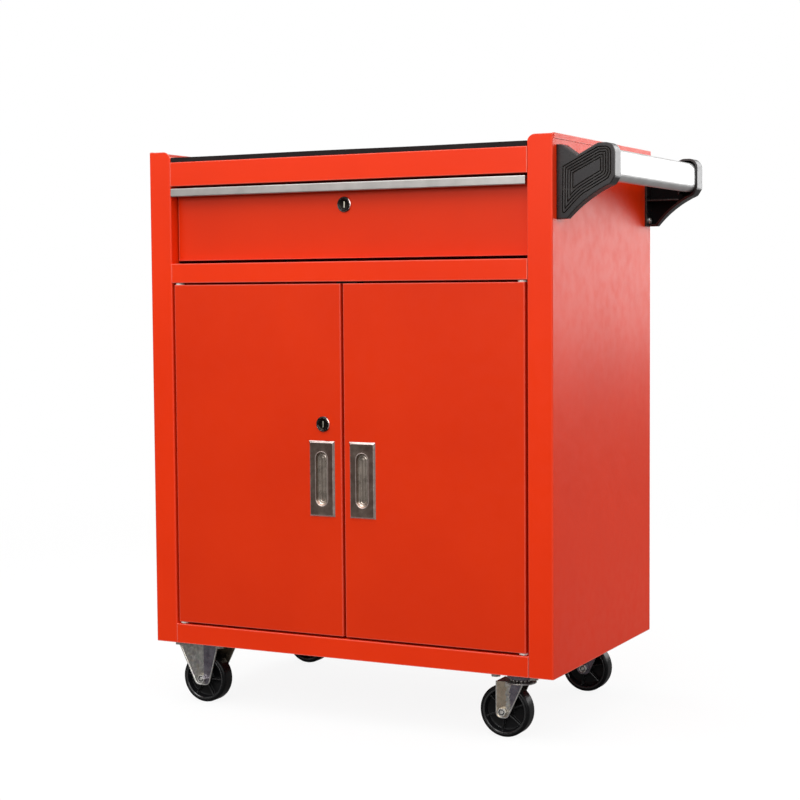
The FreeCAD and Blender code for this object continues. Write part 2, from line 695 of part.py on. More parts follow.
def drawer_box():
    """Open steel tray behind the front."""
    body = start_body("drawer_box")
    left = "post_width + slide_width"
    right = "body_width - post_width - slide_width"
    front = "drawer_back_set + drawer_front_depth"
    add(body, "XY", "box_low", "box_high", rectangle(left, front, right, "box_back"))
    cut(body, "XY", "box_low + skin", "box_high + 1",
        rectangle(left + " + skin", front + " + skin", right + " - skin", "box_back - skin"))


def drawer_strip():
    """Aluminium pull along the top of the drawer front, hooked over the pan's upper edge."""
    body = start_body("drawer_pull_strip")
    near = "drawer_back_set + skin + strip_gap"
    far = "drawer_back_set + skin + strip_back"
    hook = "strip_low + strip_hook"
    section = [
        ("0", "strip_low"), ("strip_lip", "strip_low"), ("strip_lip", "strip_low + strip_wall"),
        ("strip_wall", "strip_low + strip_wall"), ("strip_wall", "strip_high - strip_wall"),
        (near, "strip_high - strip_wall"), (near, hook), (far, hook), (far, "strip_high"),
        ("0", "strip_high"),
    ]
    add(body, "YZ", "strip_side", "body_width - strip_side - strip_short", section)
    soften(body, "Fillet", "x", [("0", "strip_low"), ("0", "strip_high")], "strip_wall")


def slide_rail(side):
    """Outer member of a ball slide, fixed to the cabinet."""
    body = start_body(side + "_slide_rail")
    near = "post_width"
    web = "post_width + slide_wall"
    lip = "post_width + slide_width - rail_lip"
    high = "slide_low + slide_height"
    section = [
        (near, "slide_low"), (lip, "slide_low"), (lip, "slide_low + slide_wall"),
        (web, "slide_low + slide_wall"), (web, high + " - slide_wall"),
        (lip, high + " - slide_wall"), (lip, high), (near, high),
    ]
    outline = [(mirrored(side, a), b) for a, b in section]
    add(body, "XZ", "slide_start", "slide_start + slide_length", outline)


def slide_runner(side):
    """Inner member of a ball slide, fixed to the drawer."""
    body = start_body(side + "_slide_runner")
    back = "post_width + slide_width"
    web = back + " - slide_wall"
    lip = "post_width + runner_start"
    high = "runner_low + runner_height"
    section = [
        (lip, "runner_low"), (back, "runner_low"), (back, high), (lip, high),
        (lip, high + " - slide_wall"), (web, high + " - slide_wall"),
        (web, "runner_low + slide_wall"), (lip, "runner_low + slide_wall"),
    ]
    outline = [(mirrored(side, a), b) for a, b in section]
    add(body, "XZ", "slide_start", "slide_start + slide_length", outline)


CAGE_BALLS = 10


def ball_cage(side):
    """Retainer with its balls between the two members of a slide."""
    low = "(slide_low + slide_wall + runner_low) / 2"
    high = "slide_low * 2 + slide_height - " + low
    start = "post_width + slide_wall + cage_gap"
    web = mirrored(side, start), mirrored(side, start + " + cage_wall")
    wing = mirrored(side, "post_width + slide_width - cage_wing")
    near, far = (web, (web[0], wing)) if side == "left" else (web[::-1], (wing, web[0]))
    end = "cage_start + cage_length"
    pieces = [block((near[0], "cage_start", low + " - cage_half"), (near[1], end, high + " + cage_half"))]
    centre = mirrored(side, "post_width + slide_width / 2 + cage_half")
    for level in (low, high):
        pieces.append(block((far[0], "cage_start", level + " - cage_half"),
                            (far[1], end, level + " + cage_half")))
        for number in range(CAGE_BALLS):
            place = "cage_start + cage_length * %s / %s" % (2 * number + 1, 2 * CAGE_BALLS)
            pieces.append(ball((centre, place, level), "ball_radius"))
    finish(join(*pieces), side + "_ball_cage")


# ---------------------------------------------------------------- handle

def bracket(end):
    """Moulded end bracket: a shell with a closed outer face and ribs, open to the tube."""
    body = start_body("handle_bracket_" + end)
    near = "bracket_" + end
    far = near + " + bracket_depth"
    wall = "body_width"
    nose = wall + " + bracket_reach"
    chin = "bracket_low + bracket_chin"
    shoulder = nose + " - bracket_head"
    outline = [
        (wall, "bracket_low"), (wall + " + bracket_foot", "bracket_low", "bracket_sweep", False),
        (nose + " - chin_step", chin), (nose, chin + " + chin_rise"), (nose, "bracket_high"),
        (shoulder, "bracket_high"), (wall + " + bracket_valley", "bracket_high - bracket_dip"),
        (wall + " + bracket_crest", "bracket_high"), (wall, "bracket_high"),
    ]
    add(body, "XZ", near, far, outline)
    soften(body, "Fillet", "y", [(nose, "bracket_high")], "nose_round")
    soften(body, "Fillet", "y", [(nose, chin + " + chin_rise"), (nose + " - chin_step", chin)],
           "chin_round")
    soften(body, "Fillet", "y", [(shoulder, "bracket_high")], "head_round")
    hollow(body, [far if end == "front" else near], "bracket_wall")
    # below the tube the open side slopes back towards the closed face
    open_side, closed_side, way = (far, near, 1) if end == "front" else (near, far, -1)
    beyond = "%s + %d" % (open_side, way)
    slim = "%s + %d * bracket_slim" % (closed_side, way)
    cut(body, "YZ", wall + " + bracket_wall", nose + " + 1",
        [(slim, "bracket_low - 1"), (beyond, "bracket_low - 1"), (beyond, chin)])
    inner = (near + " + 1", far + " - 2") if end == "front" else (near + " + 2", far + " - 1")
    rib = nose + " - bracket_wall - tube_width - 2 * tube_play"
    low_rib = "tube_middle - tube_height / 2 - 1.5 * tube_play - rib_thick"
    upright = rectangle(rib + " - rib_thick", low_rib, rib, "bracket_high - bracket_dip + 1")
    add(body, "XZ", inner[0], inner[1], upright)
    across = rectangle(wall + " + 1", "rib_level", rib + " - 1", "rib_level + rib_thick")
    add(body, "XZ", inner[0], inner[1], across)
    holes = [(near + " + bracket_depth / 2", level, "screw_radius + screw_play")
             for level in ("screw_low", "screw_high")]
    cut(body, "YZ", wall + " - 1", wall + " + bracket_wall + 1", *holes)


def handle_tube():
    """Flattened aluminium tube between the two brackets."""
    body = start_body("handle_tube")
    right = "body_width + bracket_reach - bracket_wall - tube_play"
    left = right + " - tube_width"
    low = "tube_middle - tube_height / 2"
    high = "tube_middle + tube_height / 2"
    start = "bracket_front + bracket_wall + tube_play"
    end = "bracket_rear + bracket_depth - bracket_wall - tube_play"
    add(body, "XZ", start, end, rectangle(left, low, right, high))
    corners = [(left, low), (right, low), (right, high), (left, high)]
    soften(body, "Fillet", "y", corners, "tube_width / 2 - tube_flat")
    hollow(body, [start, end], "tube_wall")


def handle_places():
    for end in ("front", "rear"):
        for level in ("screw_low", "screw_high"):
            yield "bracket_%s + bracket_depth / 2" % end, level


def handle_screws():
    """Pan-head cross-recess screws that hold the brackets."""
    screws = []
    head = "body_width + bracket_wall"
    for depth, level in handle_places():
        shank = rod("x", ("body_width - screw_length", depth, level), "screw_length + bracket_wall",
                    "screw_radius")
        cap = rod("x", (head, depth, level), "screw_head", "screw_brim")
        slots = [block((head + " + cross_level", "%s - %s" % (depth, wide), "%s - %s" % (level, tall)),
                       (head + " + 2 * screw_head", "%s + %s" % (depth, wide), "%s + %s" % (level, tall)))
                 for wide, tall in (("cross_reach", "cross_half"), ("cross_half", "cross_reach"))]
        screws.append(remove(join(shank, cap), *slots))
    finish(group(screws), "handle_screws")


# ---------------------------------------------------------------- casters

def plate_holes(half, middle="0", row="0"):
    """Four bolt holes of one caster plate."""
    depth = "plate_depth / 2 - row_edge"
    return [("%s + %d * (%s)" % (middle, across, half), "%s + %d * (%s)" % (row, along, depth),
             "bolt_hole") for across in (-1, 1) for along in (-1, 1)]


def caster_holes(side):
    """Bolt holes of both casters under one side, in the cabinet's coordinates."""
    middle, half = "king_pin", "swivel_plate / 2 - swivel_edge"
    if side == "left":
        middle, half = "rigid_axle", "rigid_plate / 2 - rigid_edge"
    return plate_holes(half, middle, "caster_front") + plate_holes(half, middle, "caster_rear")


BALL_COUNT = 16
WHEEL_RIBS = 6
AXLE_LEVEL = "-(ground_gap - wheel_radius - base_drop)"


def add_plate(body, half):
    """A caster's top plate with round corners, from its half width."""
    add(body, "XY", "-plate_thick", "0",
        rectangle("-" + half, "-plate_depth / 2", half, "plate_depth / 2"))
    corners = [(a + half, b + "plate_depth / 2") for a in ("-", "") for b in ("-", "")]
    soften(body, "Fillet", "z", corners, "plate_round")


def rigid_caster(end):
    """Fixed caster frame: plate and an inverted channel whose legs taper to the axle."""
    body = start_body("rigid_caster_" + end, ("rigid_axle", "caster_" + end, "-base_drop"))
    half = "rigid_plate / 2"
    add_plate(body, half)
    outside = "leg_gap + leg_thick"
    toe = AXLE_LEVEL + " - rigid_toe"
    path = ((half, "-plate_thick"), ("-rigid_waist", "-plate_thick"), ("-toe_left", toe),
            ("toe_right", toe))
    waist = rectangle("-rigid_waist", "-(%s)" % outside, "rigid_waist", outside)
    add(body, "XY", "-plate_thick - leg_thick", "-plate_thick", waist)
    for turn, low, high in ((-1, "-(%s)" % outside, "-leg_gap"), (1, "leg_gap", outside)):
        leg = [("%d * (%s)" % (turn, across), up) for across, up in path]
        add(body, "XZ", low, high, leg)
        soften(body, "Fillet", "y", leg[2:], "toe_round")
    cut(body, "XZ", "-plate_depth / 2", "plate_depth / 2", ("0", AXLE_LEVEL, "axle_radius"))
    cut(body, "XY", "-plate_thick - 1", "1", *plate_holes("rigid_plate / 2 - rigid_edge"))


def swivel_plate(end):
    """Top plate of a swivel caster with its pressed ball race."""
    body = start_body("swivel_plate_" + end, ("king_pin", "caster_" + end, "-base_drop"))
    half = "swivel_plate / 2"
    add_plate(body, half)
    add(body, "XY", "-race_drop", "-plate_thick", ("0", "0", "race_rim"))
    cut(body, "XY", "-race_drop - 1", "1", ("0", "0", "king_radius"))
    cut(body, "XY", "-plate_thick - 1", "1", *plate_holes("swivel_plate / 2 - swivel_edge"))


def swivel_fork(end):
    """Turning fork: crown disc and two legs that trail to the axle."""
    body = start_body("swivel_fork_" + end, ("king_pin", "caster_" + end, "-base_drop"))
    low = "-(crown_drop + crown_thick)"
    outside = "leg_gap + leg_thick"
    back = "-(trail + fork_back)"
    toe = AXLE_LEVEL + " - fork_toe"
    leg = [(back, "-crown_drop"), ("fork_front", "-crown_drop"), ("-(trail - fork_nose)", toe),
           (back, toe)]
    add(body, "XY", low, "-crown_drop", ("0", "0", "crown_radius"))
    add(body, "XY", low, "-crown_drop", rectangle(back, "-(%s)" % outside, "fork_front", outside))
    for start, stop in (("-(%s)" % outside, "-leg_gap"), ("leg_gap", outside)):
        add(body, "XZ", start, stop, leg)
        soften(body, "Fillet", "y", leg[2:], "fork_round")
    cut(body, "XY", low + " - 1", "-crown_drop + 1", ("0", "0", "king_radius + pin_gap"))
    cut(body, "XZ", "-plate_depth / 2", "plate_depth / 2", ("-trail", AXLE_LEVEL, "axle_radius"))


def king_pins():
    """Riveted king pins that the two swivel forks turn on."""
    pins = []
    length = "crown_drop + crown_thick + king_drop"
    under = "-(base_drop + %s)" % length
    for row in ("caster_front", "caster_rear"):
        shank = rod("z", ("king_pin", row, under), length, "king_radius")
        pins.append(join(shank, rod("z", ("king_pin", row, under), "king_cap", "king_head")))
    finish(group(pins), "king_pins")


def swivel_balls():
    """Rings of balls between the swivel plates' races and the forks' crowns."""
    middle = "-(base_drop + (race_drop + crown_drop) / 2)"
    balls = []
    for row in ("caster_front", "caster_rear"):
        for number in range(BALL_COUNT):
            angle = 360 * number / BALL_COUNT
            across = "king_pin + race_radius * cos(%s deg)" % angle
            depth = "%s + race_radius * sin(%s deg)" % (row, angle)
            balls.append(ball((across, depth, middle), "race_ball"))
    finish(group(balls), "swivel_balls")


def wheel_place(side, end):
    across = "rigid_axle" if side == "left" else "king_pin - trail"
    return across, "caster_" + end, "wheel_radius - ground_gap"


def wheel(side, end):
    """Hard rubber wheel: hub, thin web, ribs and a deep rim."""
    body = start_body("wheel_%s_%s" % (end, side), wheel_place(side, end))
    sketch = start_sketch(body, "YZ", "0")
    hub = "leg_gap - hub_play"
    rim = "wheel_width / 2"
    bore = "axle_radius + axle_gap"
    inner = "wheel_radius - rim_depth"
    lip = inner + " + rim_slope"
    section = [
        ("-(%s)" % hub, bore), (hub, bore), (hub, "hub_radius"), ("web_half", "hub_radius"),
        ("web_half", inner), (rim, lip), (rim, "wheel_radius"), ("-" + rim, "wheel_radius"),
        ("-" + rim, lip), ("-web_half", inner), ("-web_half", "hub_radius"),
        ("-(%s)" % hub, "hub_radius"),
    ]
    draw_polygon(sketch, section)
    turned = body.newObject("PartDesign::Revolution", "Revolution")
    turned.Profile = sketch
    turned.ReferenceAxis = (sketch, ["H_Axis"])
    turned.Angle = 360
    doc.recompute()
    shoulders = ["Edge%d" % number for number, edge in enumerate(turned.Shape.Edges, start=1)
                 if edge.Curve.TypeId == "Part::GeomCircle"
                 and abs(edge.Curve.Radius - value("wheel_radius")) < 1e-3]
    rounded = body.newObject("PartDesign::Fillet", "Fillet")
    rounded.Base = (turned, shoulders)
    rounded.setExpression("Radius", expr("tread_round"))
    doc.recompute()
    rib = add(body, "XZ", "-rib_reach", "rib_reach",
              rectangle("-rib_half", "hub_radius - 1", "rib_half", inner + " + rib_half"))
    ribs = body.newObject("PartDesign::PolarPattern", "Ribs")
    ribs.Originals = [rib]
    ribs.Axis = (origin_item(body, "Y_Axis"), [""])
    ribs.Angle = 360
    ribs.Occurrences = WHEEL_RIBS
    body.Tip = ribs
    doc.recompute()


def axle_bolt(side, end):
    """Hexagon bolt through the legs of a caster."""
    across, depth, level = wheel_place(side, end)
    outside = "(leg_gap + leg_thick)"
    start = "%s - %s" % (depth, outside)
    shank = rod("y", (across, start, level), "2 * %s + axle_spare" % outside, "axle_radius")
    head = rod("y", (across, start + " - axle_head", level), "axle_head", "axle_hex", sides=6)
    return join(shank, head)


def axle_nut(side, end):
    across, depth, level = wheel_place(side, end)
    start = "%s + leg_gap + leg_thick" % depth
    return hex_nut("y", (across, start, level), "axle_nut", "axle_hex", "axle_radius")


def axles():
    """The fixed casters' bolts and nuts, then each swivel caster's own pair."""
    finish(group([axle_bolt("left", end) for end in ("front", "rear")]), "rigid_axle_bolts")
    finish(group([axle_nut("left", end) for end in ("front", "rear")]), "rigid_axle_nuts")
    for end in ("front", "rear"):
        finish(group([axle_bolt("right", end), axle_nut("right", end)]), "swivel_axle_" + end)


def caster_bolts():
    """Hexagon bolts up through the caster plates and channels."""
    bolts = []
    for side in ("left", "right"):
        for across, depth, radius in caster_holes(side):
            under = "-(base_drop + plate_thick)"
            shank = rod("z", (across, depth, under), "bolt_length", "bolt_radius")
            head = rod("z", (across, depth, under + " - bolt_head"), "bolt_head", "hex_radius",
                       sides=6)
            bolts.append(join(shank, head))
    finish(group(bolts), "caster_bolts")


def caster_nuts():
    level = "channel_wall - base_drop"
    nuts = [hex_nut("z", (across, depth, level), "nut_thick", "hex_radius", "bolt_radius")
            for side in ("left", "right") for across, depth, radius in caster_holes(side)]
    finish(group(nuts), "caster_nuts")


# ---------------------------------------------------------------- the whole cabinet

for hand in ("left", "right"):
    side_panel(hand)
    slide_support(hand)
    caster_channel(hand)
    door(hand)
    door_bushes(hand)
    door_pull(hand)
    slide_rail(hand)
    slide_runner(hand)
    ball_cage(hand)
    for place in ("front", "rear"):
        wheel(hand, place)
for place in ("front", "rear"):
    bracket(place)
    rigid_caster(place)
    swivel_plate(place)
    swivel_fork(place)
axles()
king_pins()
swivel_balls()
top_panel()
top_mat()
back_panel()
bottom_panel()
mid_rail()
shelf()
shelf_clips()
door_pins()
door_catches()
drawer_front()
drawer_box()
drawer_strip()
handle_tube()
handle_screws()
caster_bolts()
caster_nuts()
lock("door_lock", "door_lock_side", "door_lock_level", "door_recess", "door_cam_back", "down")
lock("drawer_lock", "drawer_lock_side", "drawer_lock_level", "drawer_back_set", "drawer_cam_back",
     "left")
doc.recompute()

for item in doc.Objects:
    if {"Invalid", "Error"} & set(item.State):
        raise RuntimeError("%s (%s) failed: %s" % (item.Label, item.Name, item.State))
for item in sub_parts:
    if item.Shape.isNull() or not item.Shape.isValid():
        raise RuntimeError("%s has no valid shape" % item.Label)
for item in sub_parts:
    item.Shape.exportStep("parts/%s.step" % item.Label)
print(len(sub_parts), "sub-parts written")
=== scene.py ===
import json
import math
from itertools import product

import bmesh
import bpy
from mathutils import Matrix, Vector, geometry

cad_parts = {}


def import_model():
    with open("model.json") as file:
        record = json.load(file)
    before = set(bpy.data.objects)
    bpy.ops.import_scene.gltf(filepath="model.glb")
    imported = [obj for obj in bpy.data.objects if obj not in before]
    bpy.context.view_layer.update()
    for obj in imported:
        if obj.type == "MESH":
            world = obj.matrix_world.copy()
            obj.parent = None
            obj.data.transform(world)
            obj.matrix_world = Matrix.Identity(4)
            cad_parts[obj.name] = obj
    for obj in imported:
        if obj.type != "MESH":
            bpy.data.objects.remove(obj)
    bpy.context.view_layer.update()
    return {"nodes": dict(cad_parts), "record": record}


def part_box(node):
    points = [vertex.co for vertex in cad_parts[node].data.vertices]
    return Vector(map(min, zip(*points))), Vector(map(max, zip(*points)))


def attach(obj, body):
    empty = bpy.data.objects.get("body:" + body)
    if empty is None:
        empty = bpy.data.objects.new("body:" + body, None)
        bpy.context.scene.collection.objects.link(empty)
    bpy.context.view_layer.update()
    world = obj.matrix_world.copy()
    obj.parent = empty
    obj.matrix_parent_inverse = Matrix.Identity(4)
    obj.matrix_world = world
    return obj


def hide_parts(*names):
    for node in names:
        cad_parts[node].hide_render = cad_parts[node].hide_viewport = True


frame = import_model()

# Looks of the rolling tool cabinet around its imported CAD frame. Everything is in metres.

MM = 0.001
WELD = 0.002 * MM    # points nearer to each other than this become one
TINY = 1e-12         # keeps a division away from zero


# ---------------------------------------------------------------- node helpers

class Graph:
    """Short names for the nodes of one material. Noise scales are in waves per metre."""

    def __init__(self, name):
        self.material = bpy.data.materials.new(name)
        self.material.use_nodes = True
        self.tree = self.material.node_tree
        self.shader = self.tree.nodes["Principled BSDF"]
        self.place = self.add("ShaderNodeTexCoord").outputs["Object"]

    def add(self, kind, **settings):
        node = self.tree.nodes.new(kind)
        for name, setting in settings.items():
            setattr(node, name, setting)
        return node

    def put(self, target, given):
        """Link an output to an input, or set its own value; a colour is given as three numbers."""
        if isinstance(given, bpy.types.NodeSocket):
            self.tree.links.new(given, target)
        elif target.type == "RGBA":
            target.default_value = (*given, 1.0)
        else:
            target.default_value = given

    def fill(self, node, **values):
        """Put values or outputs into a node's inputs by name."""
        for name, given in values.items():
            self.put(node.inputs[name.replace("_", " ")], given)
        return node

    def stretched(self, scale):
        """Object coordinates multiplied by a vector, for grain that runs one way."""
        node = self.fill(self.add("ShaderNodeMapping"), Vector=self.place, Scale=scale)
        return node.outputs["Vector"]

    def noise(self, scale, detail=2.0, roughness=0.5, place=None, distortion=0.0):
        node = self.fill(self.add("ShaderNodeTexNoise"), Vector=place or self.place, Scale=scale,
                         Detail=detail, Roughness=roughness, Distortion=distortion)
        return node.outputs["Fac"]

    def range(self, source, low, high, start, stop):
        """The source's span from start to stop mapped to low to high, and held outside it."""
        node = self.fill(self.add("ShaderNodeMapRange"), Value=source,
                         From_Min=start, From_Max=stop, To_Min=low, To_Max=high)
        return node.outputs["Result"]

    def mix(self, share, first, second):
        """Two colours mixed: a Mix node has them at inputs 6 and 7, and the result at output 2."""
        node = self.add("ShaderNodeMix", data_type="RGBA")
        for slot, given in ((0, share), (6, first), (7, second)):
            self.put(node.inputs[slot], given)
        return node.outputs[2]

    def maths(self, operation, first, second):
        node = self.add("ShaderNodeMath", operation=operation)
        self.put(node.inputs[0], first)
        self.put(node.inputs[1], second)
        return node.outputs[0]

    def sum(self, first, second):
        return self.maths("ADD", first, second)

    def times(self, source, factor):
        return self.maths("MULTIPLY", source, factor)

    def soft_normal(self, radius):
        """The normal as if every edge were rounded to the radius."""
        node = self.add("ShaderNodeBevel", samples=4)
        node.inputs["Radius"].default_value = radius
        return node.outputs["Normal"]

    def edges(self, radius):
        """How far the rounded normal leans from the true one: 1 on an edge, 0 on a flat."""
        edge_cosine, flat_cosine = 0.80, 0.995
        dot = self.add("ShaderNodeVectorMath", operation="DOT_PRODUCT")
        self.put(dot.inputs[0], self.soft_normal(radius))
        self.put(dot.inputs[1], self.add("ShaderNodeNewGeometry").outputs["Normal"])
        return self.range(dot.outputs["Value"], 1.0, 0.0, edge_cosine, flat_cosine)

    def surface(self, height, strength, distance, radius):
        """Bump over a softly rounded normal."""
        bump = self.fill(self.add("ShaderNodeBump"), Height=height, Strength=strength,
                         Distance=distance, Normal=self.soft_normal(radius))
        self.fill(self.shader, Normal=bump.outputs["Normal"])


# ---------------------------------------------------------------- materials

def red_paint(name, main, shade):
    """Powder coat: orange peel, faint cloudiness, and a painted highlight that makes it paler over
    the folds.
    """
    g = Graph(name)
    cloud = g.range(g.noise(5.0, 3.0), 0.0, 1.0, 0.3, 0.7)
    speck = g.range(g.noise(1400.0, 1.0), 0.0, 0.10, 0.55, 0.8)
    # painted highlight: the folds are mixed towards a pale pink, where light catches the rounded
    # bends
    edge_highlight = g.times(g.edges(2.0 * MM), 0.85)
    rough = g.range(g.noise(60.0, 3.0), 0.30, 0.40, 0.3, 0.7)
    base = g.mix(speck, g.mix(cloud, main, shade), (0.82, 0.06, 0.012))
    base = g.mix(edge_highlight, base, (0.98, 0.36, 0.29))
    g.fill(g.shader, Base_Color=base, Roughness=rough, Specular_IOR_Level=0.22)
    peel = g.sum(g.noise(420.0, 2.0), g.times(g.noise(1600.0, 1.0), 0.35))
    g.surface(peel, 0.10, 0.25 * MM, 0.7 * MM)
    return g.material


def metal(name, dark, light, rough, grain, scale, edge=0.8 * MM, tints=()):
    """Metal with streaks along one direction, mottling, and painted highlights on the edges."""
    g = Graph(name)
    streak = g.noise(1.0, 4.0, 0.6, g.stretched(grain))
    mottle = g.noise(scale, 4.0, 0.6)
    base = g.mix(g.range(mottle, 0.0, 1.0, 0.35, 0.65), dark, light)
    for number, tint in enumerate(tints):
        patch = g.noise(scale * (0.45 + 0.2 * number), distortion=1.0 + number)
        base = g.mix(g.range(patch, 0.0, 0.7, 0.52, 0.68), base, tint)
    base = g.mix(g.range(streak, 0.0, 0.35, 0.4, 0.7), base, dark)
    # painted highlight: the edges are mixed towards near white
    base = g.mix(g.times(g.edges(edge), 0.6), base, (0.86, 0.85, 0.82))
    uneven = g.range(g.sum(mottle, streak), *rough, 0.7, 1.3)
    g.fill(g.shader, Base_Color=base, Metallic=1.0, Roughness=uneven)
    g.surface(streak, 0.12, 0.05 * MM, edge * 0.7)
    return g.material


def plastic(name, main, rough, grain, strength, dust_and_edge_highlight, edge=0.6 * MM, dusty=0.12, shine=0.5):
    """Moulded plastic or rubber: fine grain, a little dust, and edges painted lighter as a
    highlight.
    """
    g = Graph(name)
    dust = g.range(g.noise(35.0, 4.0, 0.6), 0.0, dusty, 0.5, 0.75)
    # painted highlight: the edges take the dust colour, standing in for light on the rounded edges
    edge_highlight = g.times(g.edges(edge), 0.55)
    base = g.mix(edge_highlight, g.mix(dust, main, dust_and_edge_highlight), dust_and_edge_highlight)
    uneven = g.range(g.noise(90.0, 3.0), *rough, 0.3, 0.7)
    g.fill(g.shader, Base_Color=base, Roughness=uneven, Specular_IOR_Level=shine)
    g.surface(g.noise(grain, 2.0), strength, 0.12 * MM, edge)
    return g.material


def mat_rubber():
    """Dull rubber of the top mat, with patches of dust and a fine cloth-like grain."""
    g = Graph("mat_rubber")
    dust = g.noise(18.0, 5.0, 0.65)
    clean, dusty = (0.015, 0.010, 0.010), (0.035, 0.027, 0.026)
    base = g.mix(g.range(dust, 0.0, 0.6, 0.45, 0.8), clean, dusty)
    uneven = g.range(dust, 0.62, 0.85, 0.3, 0.7)
    g.fill(g.shader, Base_Color=base, Roughness=uneven, Specular_IOR_Level=0.12)
    weave = g.sum(g.noise(900.0, 2.0), g.times(g.noise(160.0, 2.0), 0.8))
    g.surface(weave, 0.35, 0.3 * MM, 0.5 * MM)
    return g.material


ZINC_TINTS = ((0.50, 0.44, 0.33), (0.32, 0.37, 0.32), (0.33, 0.28, 0.34))
LOOKS = {
    "red_paint": red_paint("red_powder_coat", (0.83, 0.036, 0.002), (0.77, 0.031, 0.0015)),
    # painted shade: the doors and drawer front have the same powder coat as the posts, here in a
    # darker copy
    "door_paint_shaded": red_paint("door_powder_coat_shaded", (0.72, 0.032, 0.0015), (0.67, 0.027, 0.001)),
    "zinc_plate": metal("zinc_plate", (0.34, 0.33, 0.31), (0.74, 0.72, 0.68), (0.32, 0.48),
                        (700.0, 700.0, 60.0), 150.0, edge=1.1 * MM, tints=ZINC_TINTS),
    # painted highlight: a brighter copy of the zinc for the legs' rims and toes
    "zinc_rim_highlight": metal("zinc_rim_highlight", (0.62, 0.61, 0.58), (0.90, 0.89, 0.86), (0.25, 0.40),
                      (300.0, 300.0, 300.0), 200.0),
    # painted shade: a darker purple-grey copy of the zinc for the legs' leaning parts, the caster
    # plates and the rear fork
    "zinc_cool_shade": metal("zinc_cool_shade", (0.16, 0.14, 0.175), (0.30, 0.28, 0.32), (0.22, 0.34),
                       (700.0, 700.0, 40.0), 90.0),
    # painted light: a lighter warm copy of the zinc for the legs' inner faces and the flat part of
    # the swivel fork legs
    "zinc_warm_light": metal("zinc_warm_light", (0.50, 0.42, 0.32), (0.64, 0.55, 0.43), (0.24, 0.36),
                       (700.0, 700.0, 40.0), 120.0),
    "zinc_bright": metal("zinc_bright", (0.72, 0.71, 0.67), (0.95, 0.94, 0.90), (0.34, 0.50),
                         (400.0, 400.0, 400.0), 300.0),
    "nickel": metal("satin_nickel", (0.25, 0.17, 0.14), (0.42, 0.325, 0.27), (0.16, 0.28),
                    (1600.0, 1600.0, 30.0), 60.0, edge=0.6 * MM),
    # painted highlight: a lighter copy of the nickel for a pull's top bevel, kept below the sides'
    # copy as the lamps above light it already
    "nickel_top_bevel_highlight": metal("nickel_top_bevel_highlight", (0.36, 0.28, 0.26), (0.58, 0.47, 0.44), (0.12, 0.22),
                          (900.0, 900.0, 60.0), 120.0, edge=0.6 * MM),
    # painted highlight: a bright copy of the nickel for a pull's side bevels, its lip and the low
    # end of its cup, and for the crescent on a lock ring's right
    "nickel_side_highlight": metal("nickel_side_highlight", (0.85, 0.66, 0.60), (0.95, 0.80, 0.75), (0.14, 0.24),
                         (900.0, 900.0, 60.0), 120.0, edge=0.6 * MM),
    # painted light: a lighter copy of the nickel for the floor of a pull's cup
    "nickel_floor_light": metal("nickel_floor_light", (0.34, 0.285, 0.24), (0.56, 0.48, 0.41), (0.22, 0.34),
                          (1600.0, 1600.0, 20.0), 60.0, edge=0.6 * MM),
    # painted shade: a near-black copy of the nickel for the lock rings and the sunk rings in the
    # bolt heads
    "dark_nickel": metal("dark_nickel", (0.022, 0.020, 0.022), (0.10, 0.095, 0.10), (0.08, 0.18),
                         (500.0, 500.0, 500.0), 260.0, edge=0.5 * MM),
    "lock_core": metal("lock_core", (0.008, 0.006, 0.006), (0.035, 0.028, 0.022), (0.14, 0.30),
                       (300.0, 300.0, 300.0), 420.0, edge=0.2 * MM),
    "keyway_brass": metal("keyway_brass", (0.80, 0.74, 0.55), (0.95, 0.92, 0.80), (0.25, 0.40),
                          (300.0, 300.0, 300.0), 420.0, edge=0.2 * MM),
    "aluminium": metal("brushed_aluminium", (0.82, 0.82, 0.82), (0.90, 0.90, 0.90), (0.40, 0.50),
                       (2500.0, 12.0, 2500.0), 25.0),
    "strip_aluminium": metal("strip_aluminium", (0.46, 0.44, 0.42), (0.54, 0.515, 0.495),
                             (0.30, 0.44), (12.0, 2500.0, 2500.0), 40.0),
    "black_plastic": plastic("black_plastic", (0.012, 0.0095, 0.0105), (0.24, 0.34), 700.0, 0.10,
                             (0.17, 0.15, 0.12), edge=0.8 * MM, dusty=0.04, shine=0.42),
    # painted shade: a darker, duller copy of the black plastic for the floors of the grooves
    "bracket_groove_shade": plastic("bracket_groove_shade", (0.006, 0.005, 0.0055), (0.6, 0.7), 700.0, 0.05,
                              (0.03, 0.028, 0.025), dusty=0.02, shine=0.05),
    # painted reflection: a pale grey copy of the plastic for the band round a bracket's nose, which
    # is black plastic catching the light
    "bracket_nose_reflection": plastic("bracket_nose_reflection", (0.20, 0.20, 0.205), (0.24, 0.36), 500.0, 0.08,
                            (0.55, 0.55, 0.56)),
    "mat_rubber": mat_rubber(),
    "wheel_glint": plastic("wheel_glint", (0.008, 0.008, 0.009), (0.10, 0.18), 500.0, 0.05,
                           (0.24, 0.24, 0.24), edge=0.6 * MM, dusty=0.02, shine=0.8),
    "wheel_rubber": plastic("wheel_rubber", (0.0035, 0.0035, 0.004), (0.24, 0.36), 500.0, 0.10,
                            (0.16, 0.16, 0.16), edge=0.5 * MM, dusty=0.02, shine=0.2),
    "nylon": plastic("natural_nylon", (0.70, 0.69, 0.64), (0.38, 0.5), 600.0, 0.08,
                     (0.80, 0.79, 0.75)),
    "catch_plastic": plastic("catch_plastic", (0.022, 0.022, 0.022), (0.4, 0.55), 600.0, 0.15,
                             (0.07, 0.07, 0.07)),
}


# ---------------------------------------------------------------- mesh helpers

def crisp(mesh, degrees):
    """Smooth shading, with edges sharper than the angle kept sharp."""
    mesh.polygons.foreach_set("use_smooth", [True] * len(mesh.polygons))
    mesh.set_sharp_from_angle(angle=math.radians(degrees))


